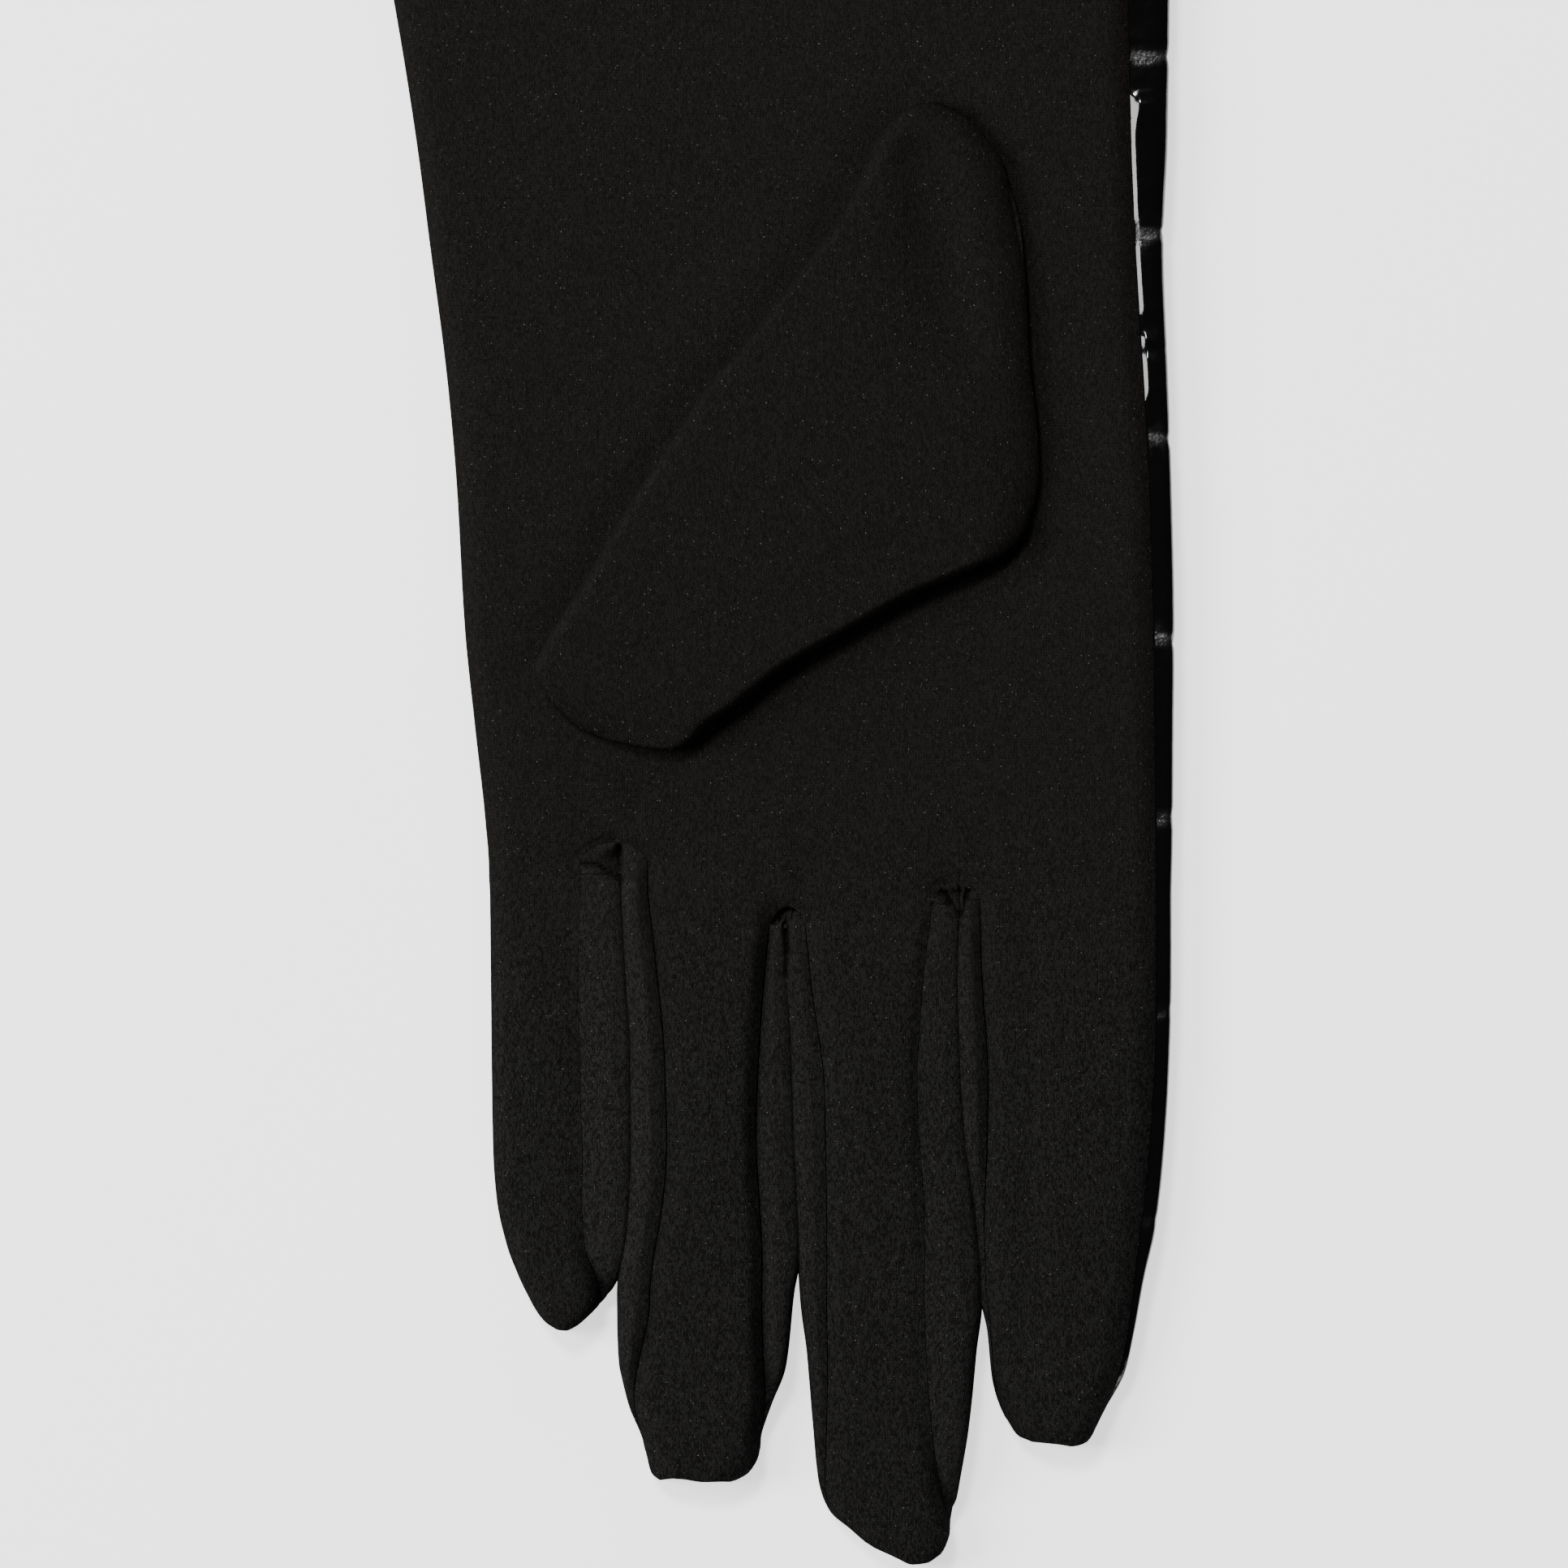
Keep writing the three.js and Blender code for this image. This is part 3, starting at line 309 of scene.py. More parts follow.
def makeShell(name, grids, wall, material, relief=0.0, hole=None, sharp=60):
    rowsOf, quads, start = [], [], 0
    for grid in grids:
        rows, columns = grid.points.shape[:2]
        ids = start + np.arange(rows * columns).reshape(rows, columns)
        a, b, c, d = ids[:-1, :-1], ids[:-1, 1:], ids[1:, 1:], ids[1:, :-1]
        order = (a, b, c, d) if grid.flip else (a, d, c, b)
        quads.append(np.stack([part.ravel() for part in order], axis=1))
        parts = (grid.points, grid.grain, grid.rise[..., None], grid.inner, grid.groove[..., None])
        rowsOf.append(np.concatenate(parts, axis=2).reshape(rows * columns, -1))
        start += rows * columns
    table, quads = np.concatenate(rowsOf), np.concatenate(quads)
    for column in (1, 7):  # the tips aren't quite even
        wave = hand["tipWave"] * ripple(table[:, column - 1], 0, 7.5, 31)
        table[:, column] += wave * ease((-table[:, column] - 48) / 8)
    _, first, same = np.unique(np.round(table[:, :3] * 500).astype(np.int64), axis=0,
                               return_index=True, return_inverse=True)
    table, quads = table[first], same.reshape(-1)[quads]
    points, grain, rise, given, groove = table[:, :3], table[:, 3:5], table[:, 5], table[:, 6:9], table[:, 9]
    if hole is not None:
        quads = openHole(points, given, quads, hole(points))
    normals = vertexNormals(points, quads)
    push = normals.copy()
    edge = ~np.isnan(rise)
    out, up = seamCut(rise[edge])
    level = np.hypot(push[edge, 0], push[edge, 1]) + 1e-9
    push[edge] = np.stack([push[edge, 0] / level * out, push[edge, 1] / level * out, up], axis=1)
    push[points[:, 1] > hand["bodyLength"] - 0.01, 1] = 0
    inner = points - push * np.asarray(thickAt(points[:, 1], wall))[:, None]
    hasInner = ~np.isnan(given[:, 2])
    inner[hasInner] = given[hasInner]
    points = points - normals * (relief * groove)[:, None]
    used, renumber = np.unique(quads, return_inverse=True)
    quads = renumber.reshape(quads.shape)
    points, inner, grain, groove = points[used], inner[used], grain[used], groove[used]
    sides = {(quad[k], quad[(k + 1) % 4]) for quad in quads.tolist() for k in range(4)}
    count = len(points)
    faces = quads.tolist() + (quads[:, ::-1] + count).tolist()
    faces += [(b, a, a + count, b + count) for a, b in sides if a != b and (b, a) not in sides]
    faces = [[i for k, i in enumerate(face) if i != face[k - 1]] for face in faces]
    faces = [face for face in faces if len(face) > 2]
    mesh = bpy.data.meshes.new(name)
    mesh.from_pydata(((np.concatenate([points, inner]) + shift) / 1000).tolist(), [], faces)
    corner = np.zeros(len(mesh.loops), dtype=np.int32)
    mesh.loops.foreach_get("vertex_index", corner)
    layer = mesh.uv_layers.new(name="grain")
    layer.data.foreach_set("uv", np.concatenate([grain, grain])[corner].astype(np.float32).ravel())
    if relief:
        mark = mesh.attributes.new("groove", "FLOAT", "POINT")
        mark.data.foreach_set("value", np.concatenate([groove, groove]).astype(np.float32))
    mesh.polygons.foreach_set("use_smooth", np.ones(len(mesh.polygons), dtype=bool))
    mesh.set_sharp_from_angle(angle=math.radians(sharp))
    rim = np.array([(a, b) for a, b in sides if a != b and (b, a) not in sides])
    markSharp(mesh, np.concatenate([rim, rim + count]))
    mesh.materials.append(material)
    mesh.update()
    print(name, "has", len(faces), "faces")
    return addObject(name, mesh)


# Jersey, the fine knit of the palm, the thumb and the gussets

jersey = {
    "dark": (0.0039, 0.0036, 0.0033), "light": (0.0163, 0.0149, 0.0136),
    "coolLight": (0.0165, 0.0163, 0.0156),
    "lint": (0.085, 0.08, 0.073), "lintApart": 3.2, "lintSize": 0.26, "lintRare": 24.0, "specular": 0.0,
    "roughness": 0.82, "wale": 0.40, "course": 0.36, "depth": 0.00009, "tangle": 0.00006, "wander": 0.35,
    "palmY": -0.012, "fingerY": -0.05,  # in metres, where the warmer painted tint of the light ends and the cooler one begins
    "weights": (1.9, 0.7, 0.85, 0.1),  # of the tangle, the knit, the yarn and the slub in the mottle; the knit's share is painted shade between the wales and painted highlight on the legs
}


class Nodes:  # a new material's node tree, with short ways to add to it
    def __init__(self, name):
        self.material = bpy.data.materials.new(name)
        self.material.use_nodes = True
        self.tree = self.material.node_tree
        self.shader = self.tree.nodes["Principled BSDF"]

    def fill(self, socket, value):  # with another node's output or with a plain value
        if hasattr(value, "is_linked"):
            self.tree.links.new(value, socket)
        else:
            socket.default_value = value

    def put(self, name, value):
        self.fill(self.shader.inputs[name], value)

    def add(self, kind, inputs=(), **settings):
        node = self.tree.nodes.new("ShaderNode" + kind)
        for name, value in settings.items():
            setattr(node, name, value)
        for name, value in dict(inputs).items():
            self.fill(node.inputs[name], value)
        return node.outputs

    def calc(self, operation, *values):
        return self.add("Math", enumerate(values), operation=operation)[0]

    def mix(self, share, low, high):
        return self.add("Mix", {"Factor": share, "A": low, "B": high}, data_type="RGBA")["Result"]

    def noise(self, vector, scale, detail, rough):
        inputs = {"Vector": vector, "Scale": scale, "Detail": detail, "Roughness": rough}
        return self.add("TexNoise", inputs)["Fac"]

    def bump(self, height, distance, below=None):
        inputs = {"Strength": 1.0, "Distance": distance, "Height": height}
        if below is not None:
            inputs["Normal"] = below
        return self.add("Bump", inputs)["Normal"]


def dyed(color, tone=1.0):
    return (*[part * tone for part in color], 1)


def makeJersey(name, tone):
    looks = Nodes(name)
    calc = looks.calc
    grain = looks.add("UVMap", uv_map="grain")["UV"]
    wander = looks.add("TexNoise", {"Vector": grain, "Scale": jersey["wander"]})["Color"]
    parts = {0: wander, 1: (0.5, 0.5, 0), 2: grain}
    nudged = looks.add("VectorMath", parts, operation="MULTIPLY_ADD")["Vector"]
    place = looks.add("SeparateXYZ", {"Vector": nudged})  # so the wales aren't quite straight
    wale = calc("FRACT", calc("DIVIDE", place["X"], jersey["wale"]))
    side = calc("ABSOLUTE", calc("SUBTRACT", wale, 0.5))
    lean = calc("MULTIPLY_ADD", side, 1.3, calc("DIVIDE", place["Y"], jersey["course"]))
    loop = calc("PINGPONG", lean, 0.5)
    legs = calc("PINGPONG", side, 0.25)  # a leg of yarn at each side of a wale
    knit = calc("MULTIPLY_ADD", legs, 2.4, calc("MULTIPLY", loop, 1.2))
    tangle = looks.noise(grain, 6.0, 2.0, 0.7)
    slub = looks.noise(grain, 0.8, 2.0, 0.6)
    normal = looks.bump(knit, jersey["depth"])
    normal = looks.bump(tangle, jersey["tangle"] * 2, normal)
    looks.put("Normal", looks.bump(slub, jersey["tangle"], normal))
    leg = calc("FLOOR", calc("MULTIPLY", place["X"], 2 / jersey["wale"]))
    stitch = looks.add("CombineXYZ", {"X": leg, "Y": calc("FLOOR", lean)})["Vector"]
    yarn = looks.add("TexWhiteNoise", {"Vector": stitch}, noise_dimensions="2D")["Value"]
    # random tone of the yarn, with painted shade and highlight: the knit's height is copied into the colour,
    # darker between the wales and lighter on the legs
    mottleAndKnitShade = -0.95
    for part, weight in zip((tangle, knit, yarn, slub), jersey["weights"]):
        mottleAndKnitShade = calc("MULTIPLY_ADD", part, weight, mottleAndKnitShade)
    mottleAndKnitShade = calc("SUBTRACT", mottleAndKnitShade, 0.89)
    height = looks.add("SeparateXYZ", {"Vector": looks.add("TexCoord")["Object"]})["Y"]
    ends = {"From Min": jersey["palmY"], "From Max": jersey["fingerY"]}
    cool = looks.add("MapRange", {"Value": height, **ends})["Result"]  # painted light: the fingers are less warm and plain, a tint of the light painted into the colour
    light = looks.mix(cool, dyed(jersey["light"], tone), dyed(jersey["coolLight"], tone))
    crisp = calc("MULTIPLY_ADD", cool, 0.45, 0.6)
    cloth = looks.mix(calc("MULTIPLY_ADD", mottleAndKnitShade, crisp, 0.5), dyed(jersey["dark"], tone), light)
    speckle = looks.add("TexVoronoi", {"Vector": nudged, "Scale": jersey["lintApart"]})
    chance = looks.add("SeparateColor", {"Color": speckle["Color"]})["Green"]
    lint = calc("MULTIPLY", calc("LESS_THAN", speckle["Distance"], jersey["lintSize"]),
                calc("POWER", chance, jersey["lintRare"]))
    looks.put("Base Color", looks.mix(lint, cloth, dyed(jersey["lint"])))
    looks.put("Roughness", calc("MULTIPLY_ADD", tangle, 0.2, jersey["roughness"] - 0.1))
    looks.put("Specular IOR Level", jersey["specular"])
    return looks.material


# Patent, the glossy embossed back

patent = {
    "color": (0.0012, 0.0012, 0.0013), "grooveSheenColor": (0.005, 0.005, 0.0052), "specular": 0.5,
    "roughness": 0.08, "grooveRoughness": 0.42, "relief": 0.28, "bump": 0.0002,
    "bands": [134.0, 107.4, 85.3, 60.1, 32.3, 8.0, -15.1, -40.9, -66.0], "scaleWidth": 17.0,
}


def makePatent():
    looks = Nodes("embossed_patent")
    calc = looks.calc
    grain = looks.add("UVMap", uv_map="grain")["UV"]
    groove = looks.add("Attribute", attribute_name="groove")["Fac"]
    wrinkle = looks.noise(grain, 1.5, 3.0, 0.6)
    swell = looks.noise(grain, 0.22, 2.0, 0.5)
    crinkle = calc("MULTIPLY", wrinkle, calc("MULTIPLY_ADD", groove, 0.9, 0.08))
    looks.put("Normal", looks.bump(crinkle, patent["bump"], looks.bump(swell, patent["bump"])))
    smooth = patent["roughness"]
    rough = calc("MULTIPLY_ADD", groove, patent["grooveRoughness"] - smooth, smooth)
    looks.put("Roughness", calc("MULTIPLY_ADD", wrinkle, 0.05, rough))
    # painted sheen: the grooves' wrinkles are painted lighter, standing in for their grey glints
    grooveSheen = calc("MULTIPLY", groove, wrinkle)
    looks.put("Base Color", looks.mix(grooveSheen, dyed(patent["color"]), dyed(patent["grooveSheenColor"])))
    looks.put("Specular IOR Level", patent["specular"])
    return looks.material


jerseyCloth = makeJersey("fine_jersey", 1.0)
# painted shade: the thumb's cloth is a copy of the jersey painted 5% darker
thumbShadedJersey = makeJersey("thumb_shaded_jersey", 0.95)
patentCloth = makePatent()
print("materials made")


# Palm and its four finger fronts

panel = {"rollSteps": 7, "middleSteps": 12, "rowsAlong": 110, "bodyRows": 210, "dome": 0.3}
rollSteps = np.linspace(0, 1, panel["rollSteps"])
middleSteps = np.linspace(0, 1, panel["middleSteps"])[1:-1]
rootShares = np.concatenate([[0, 0.004, 0.01, 0.02, 0.034, 0.05, 0.067], np.linspace(0.084, 1, 54)])
endShares = [0.95, 0.958, 0.966, 0.974, 0.981, 0.987, 0.991, 0.994, 0.996, 0.9975, 0.9988, 0.9996, 1]


def heightsDown(finger, drop=0.0):  # the heights of a finger's rows at its left and at its right
    low = -0.25 * finger["length"]
    starts = [other if split is None else webs[split][1] - drop
              for split, other in zip(finger["splits"], (0.023 * hand["palmWidth"], 0.0))]
    tip = -finger["length"] * np.concatenate([np.linspace(0.25, 0.942, panel["rowsAlong"])[1:], endShares])
    return [np.concatenate([lerp(start, low, rootShares), tip]) for start in starts]


def liftMask(points):
    return ease((points[:, :, 2] - 3.5) / 3.2) * ease((hand["bodyLength"] + 4 - points[:, :, 1]) / 12)


def frontGrid(finger):
    ys = heightsDown(finger)
    sides = [fingerSide(finger, side, y) for side, y in zip(("left", "right"), ys)]
    at = -(ys[0] + ys[1]) / 2 / finger["length"]
    top = lerp(tableEdge, hand["height"], readTable(tips, "crown", at))
    seams = [side[1] for side in sides]
    width = seams[1] - seams[0]
    quarter = rollSteps[:, None] * math.pi / 2
    boxed = 2 / hand["boxy"]
    rolls = []
    for i, (foot, seam, rise) in enumerate(sides):
        isPatent = i == 1 and finger["splits"][1] is None
        high = np.minimum(frontTop(rise, seamDrop(finger, i, ys[i])), top)
        upper = hand["edgeRound" if isPatent else "seamRound"]
        wide = np.minimum(lerp(hand["sideRound"], upper, rise), width * 0.36)
        rolls.append((wide * lerp(rollSteps[:, None], 1 - np.cos(quarter) ** boxed, 1 - rise),
                      lerp(high, top, lerp(np.sin(quarter), np.sin(quarter) ** boxed, 1 - rise)), wide))
    left, right = rolls
    middle = lerp(seams[0] + left[2], seams[1] - right[2], middleSteps[:, None])
    x = np.concatenate([seams[0] + left[0], middle, (seams[1] - right[0])[::-1]]).T
    z = np.concatenate([left[1], np.repeat(top[None], len(middleSteps), axis=0), right[1][::-1]]).T
    share = np.clip((x - seams[0][:, None]) / width[:, None], 0, 1)
    y = lerp(ys[0][:, None], ys[1][:, None], share)
    bow = hand["endBow"] * np.sqrt(4 * share[0] * (1 - share[0]))
    fallen = np.clip(np.maximum(ys[0][0] - ys[0], ys[1][0] - ys[1]) / (1.3 * hand["archLength"]), 0, 1)
    y += (1 - np.sqrt(1 - (1 - fallen) ** 2))[:, None] * bow[None]
    rise = np.full(x.shape, np.nan)
    rise[:, 0], rise[:, -1] = sides[0][2], sides[1][2]
    rise[-1] = 0
    points = np.stack([x, y, z], axis=2)
    grain = grainOf(points, x.shape[1] // 2)
    mask = liftMask(points)
    lift = panel["dome"] * np.sin(math.pi * share) * ease((-y - 1) / 9) + palmRelief(x, y)
    for k, column in ((0, 0), (1, -1)):
        if finger["splits"][k]:
            seed = 20 + k + int(finger["length"])
            lift = lift + puckers(y, np.abs(x - x[:, [column]]), seed) * ease(-y / 4)
    edge = np.minimum(x - x[:, [0]], x[:, [-1]] - x)
    points[:, :, 2] += mask * lift * ease(edge / 1.2)
    return Grid(points, grain, rise)


def webDip(x, y):
    dip = np.zeros_like(x)
    for across, up in webs.values():
        away = np.hypot(x - across, y - up)
        dip = np.maximum(dip, hand["webDrop"] * (1 - np.clip(away / hand["seamRound"], 0, 1)) ** 2)
    return dip


def palmGrids():
    fronts = [frontGrid(finger) for finger in fingers.values()]
    endRow = joinRows([front.points[0] for front in fronts])
    rolled, last = len(rollSteps) - 1, len(endRow) - 1
    column, endX, endY = np.arange(last + 1), endRow[:, 0], endRow[:, 1]
    level = np.full(last + 1, hand["height"])
    sine = np.sin(rollSteps[:-1] * math.pi / 2)
    level[:rolled] = lerp(tableEdge, hand["height"], sine ** (2 / hand["boxy"]))
    level[last - rolled + 1:] = lerp(hand["height"] - hand["edgeDrop"], hand["height"], sine)[::-1]
    rows = [(share, 1.0) for share in np.linspace(1, hand["fanFrom"], panel["bodyRows"])]
    rows += [(hand["fanFrom"], blend) for blend in (0.85, 0.7, 0.56, 0.43, 0.31, 0.2, 0.11, 0.04)]
    points = np.zeros((len(rows) + 1, last + 1, 3))
    inward = (endX - endX[rolled]) / (endX[last - rolled] - endX[rolled])
    for i, (share, blend) in enumerate(rows):
        y = lerp(endY, share * hand["bodyLength"], blend)
        up = np.clip(y / hand["bodyLength"], 0, 1)
        left, right = bodyEdge("left", up), bodyEdge("seam", up)
        x = lerp(left + hand["sideRound"], right - hand["edgeRound"], inward)
        x = np.where(column < rolled, left + endX - endX[0], x)
        x = np.where(column > last - rolled, right + endX - endX[last], x)
        points[i] = np.stack([lerp(endX, x, min(1, blend * hand["fanRate"])), y, level], axis=1)
    points[-1] = np.stack([endX, endY, level], axis=1)
    grain = grainOf(points, last // 2)
    x, y = points[:, :, 0], points[:, :, 1]
    edge = np.minimum(x - x[:, [0]], x[:, [-1]] - x)
    seamSide = puckers(y, x[:, [-1]] - x, 61)
    lift = liftMask(points) * ease(edge / 1.2) * (palmRelief(x, y) - thumbGroove(x, y) + seamSide)
    points[:, :, 2] += lift - webDip(x, y)
    points[-1, :, 2] = endRow[:, 2]
    rise = np.full(x.shape, np.nan)
    rise[:, 0], rise[:, -1] = 0, 1
    for i, front in enumerate(fronts):  # the grain runs on from the palm into each front
        size = front.points.shape[1] - 1
        front.grain[:, :, 0] += grain[-1, i * size + size // 2, 0] - front.grain[0, size // 2, 0]
    return [Grid(points, grain, rise)] + fronts


# Thumb, folded over the palm and sewn to it along its right side

thumb = {
    "length": 93.0, "width": 42.0, "turn": 26.0, "height": 5.0, "gap": 0.3, "round": 2.4, "edgeRound": 1.4,
    "sewnRound": 13.0, "footRound": 1.6, "top": (0.118, 0.726), "rows": 150, "steps": 9, "middle": 20,
    "press": 0.75, "pressWidth": 3.2, "seamPress": 0.2, "seamPressWidth": 3.0,
    "groove": 0.6, "grooveWidth": 0.9,
    "at": [0, 0.012, 0.034, 0.072, 0.105, 0.16, 0.2, 0.27, 0.355, 0.43, 0.482, 0.526, 0.56, 0.634, 0.72,
           0.807, 0.885, 0.92, 0.948, 0.97, 0.984, 0.995, 1],
    "left": [0.09, 0.045, 0, -0.025, -0.031, -0.022, -0.027, -0.052, -0.092, -0.126, -0.16, -0.176, -0.184,
             -0.206, -0.229, -0.24, -0.259, -0.266, -0.265, -0.216, -0.167, -0.1, -0.05],
    "right": [0.2, 0.26, 0.35, 0.42, 0.475, 0.565, 0.615, 0.7, 0.82, 0.895, 0.91, 0.88, 0.82, 0.68, 0.548,
              0.421, 0.338, 0.293, 0.275, 0.24, 0.16, 0.07, 0.01],
    "full": [0.24, 0.55, 0.82, 1, 1, 1, 1, 1, 1, 1, 1, 1, 1, 1, 1, 1, 1, 1, 0.92, 0.78, 0.62, 0.42, 0.24],
}


def thumbPlace(at, off):  # a place on the palm from shares along the thumb and millimetres to its right
    turn = math.radians(thumb["turn"])
    x = hand["palmWidth"] * thumb["top"][0] - math.sin(turn) * thumb["length"] * at + math.cos(turn) * off
    y = hand["bodyLength"] * thumb["top"][1] - math.cos(turn) * thumb["length"] * at - math.sin(turn) * off
    return x, y


def thumbGroove(x, y):  # the palm sinks to its seam with the thumb, and a little under the thumb
    at = np.linspace(0, 0.56, 90)
    seamX, seamY = thumbPlace(at, thumb["width"] * readTable(thumb, "right", at))
    away = np.min(np.hypot(x[..., None] - seamX, y[..., None] - seamY), axis=-1)
    at = np.linspace(0.06, 0.95, 90)
    edgeX, edgeY = thumbPlace(at, thumb["width"] * readTable(thumb, "left", at) + 1.2)
    pressed = np.min(np.hypot(x[..., None] - edgeX, y[..., None] - edgeY), axis=-1)
    return thumb["press"] * np.exp(-(pressed / thumb["pressWidth"]) ** 2) \
        + thumb["groove"] * np.exp(-(away / thumb["grooveWidth"]) ** 2) \
        + thumb["seamPress"] * np.exp(-(away / thumb["seamPressWidth"]) ** 2)


def thumbFace(left, right, rounds, sides, level, angle):  # one face from its left edge to its right
    middle = np.linspace(0, 1, thumb["middle"])[None, 1:-1]
    turned, risen = 1 - np.cos(angle), np.sin(angle)
    x = np.concatenate([left + rounds[0] * turned, lerp(left + rounds[0], right - rounds[1], middle),
                        (right - rounds[1] * turned)[:, ::-1]], axis=1)
    z = np.concatenate([lerp(sides[0], level, risen), level + 0 * (left + middle),
                        lerp(sides[1], level, risen)[:, ::-1]], axis=1)
    return x, z


def thumbLoop(at, inset):
    at = at[:, None]
    left = thumb["width"] * readTable(thumb, "left", at) + inset
    right = thumb["width"] * readTable(thumb, "right", at) - inset
    base = hand["height"] + thumb["gap"] + inset
    top = np.maximum(base - inset + thumb["height"] * readTable(thumb, "full", at) - inset, base + 0.2)
    sewn = 1 - ease((at - 0.42) / 0.14)
    upper = lerp(thumb["round"], thumb["edgeRound"], ease((at - 0.1) / 0.1))
    leftRound = np.minimum(upper, (right - left) * 0.4)
    rightRound = np.minimum(lerp(thumb["edgeRound"], thumb["sewnRound"], sewn), (right - left) * 0.6)
    angle = np.linspace(0, math.pi / 2, thumb["steps"])[None]
    sides = [base + (top - base) * share for share in (0.42, lerp(0.42, 0.08, sewn))]
    x, z = thumbFace(left, right, (leftRound, rightRound), sides, top, angle)
    foot = np.minimum(thumb["footRound"], leftRound)
    lowX, lowZ = thumbFace(left, right, (foot, foot), sides, base, angle)
    x = np.concatenate([x, lowX[:, -2::-1]], axis=1)
    z = np.concatenate([z, lowZ[:, -2::-1]], axis=1)
    count = lowX.shape[1]
    for row in (0, -1):  # the ends close on a line
        x[row, count:] = x[row, count - 2::-1]
        z[row] = z[row].mean()
    placeX, placeY = thumbPlace(at, x)
    return np.stack([placeX, placeY, z], axis=2), count


def thumbRelief(x, y, at):  # a fold runs down from the thumb's top, away from its left edge
    startX, startY = thumbPlace(at, 0)
    turn = math.radians(thumb["turn"])
    off = (x - startX) * math.cos(turn) - (y - startY) * math.sin(turn)
    away = off - 3.0 - 61 * at
    away = away * np.where(away < 0, 0.72, 1.5)
    fold = ease((at - 0.015) / 0.06) * ease((0.4 - at) / 0.2)
    low = 0.16 * ripple(x, y, 34, 8) + 0.06 * ripple(x, y, 13, 9)
    return low - fold * (2.9 * np.exp(-(away / 5.0) ** 2) + 0.4 * np.exp(-(away / 1.7) ** 2))


def thumbGrid():
    rows = np.linspace(0.012, 0.984, thumb["rows"])
    at = np.concatenate([[0, 0.003, 0.007], rows, [0.988, 0.992, 0.996, 1]])
    points, count = thumbLoop(at, 0)
    inner, _ = thumbLoop(np.clip(at, 0.022, 0.982), hand["jerseyWall"])
    grain = grainOf(points, count // 2)
    grain[:, :, 1] = at[:, None] * thumb["length"]
    upper = np.zeros(points.shape[:2])
    share = np.linspace(0, 1, count)
    upper[:, :count] = np.sin(math.pi * share) ** 0.6
    upper *= ease(at / 0.1)[:, None] * ease((1 - at) / 0.06)[:, None]
    relief = upper * (0.3 + thumbRelief(points[:, :, 0], points[:, :, 1], at[:, None]))
    points[:, :, 2] += relief
    inner[:, :, 2] = np.maximum(inner[:, :, 2] + relief, inner[:, :, 2].min())
    return Grid(points, grain, inner=inner)


# Patent back, level on the table and turned up along the index side

back = {
    "columns": 27, "rowsApart": 0.8, "turnSteps": 7, "sideSteps": 15, "reach": (1.6, 3.2), "low": 2.9,
    "boxy": 7.0, "steep": 78.0, "lift": 0.35, "edgeWidth": 1.4, "lipWidth": 0.55, "lipSlope": 0.5,
    "splitAt": 0.03, "grooveWidth": 0.75, "lineWidth": 0.7, "lineDepth": 0.85,
}


def scaleGroove(across, along, lines):  # the embossed grooves between the scales, from 0 to 1
    deep = np.zeros_like(across)
    for k, band in enumerate(patent["bands"]):
        bow = 1.3 * np.sin(across / 8.5 + 1.7 * k) + 0.5 * np.sin(across / 3.1 + k)
        away = along - band - bow
        deep = np.maximum(deep, np.exp(-(away / back["grooveWidth"]) ** 2))
        side = ripple(across, along, 2.6, 70 + k)
        deep = np.maximum(deep, 0.5 * np.clip(side, 0, 1) * np.exp(-(away / 2.0) ** 2))
        below = patent["bands"][k + 1] if k + 1 < len(patent["bands"]) else -200
        above = band + 1.3 * np.sin(across / 8.5 + 1.7 * k)
        inBand = ease((above - along) / 1.2) * ease((along - below - 0.5) / 1.2)
        phase = (across + 5.3 * k + 0.8 * np.sin(along / 4.3 + k)) / patent["scaleWidth"]
        line = np.abs(phase - np.round(phase)) * patent["scaleWidth"]
        line = lines * inBand * np.exp(-(line / back["lineWidth"]) ** 2)
        deep = np.maximum(deep, back["lineDepth"] * line)
    return deep


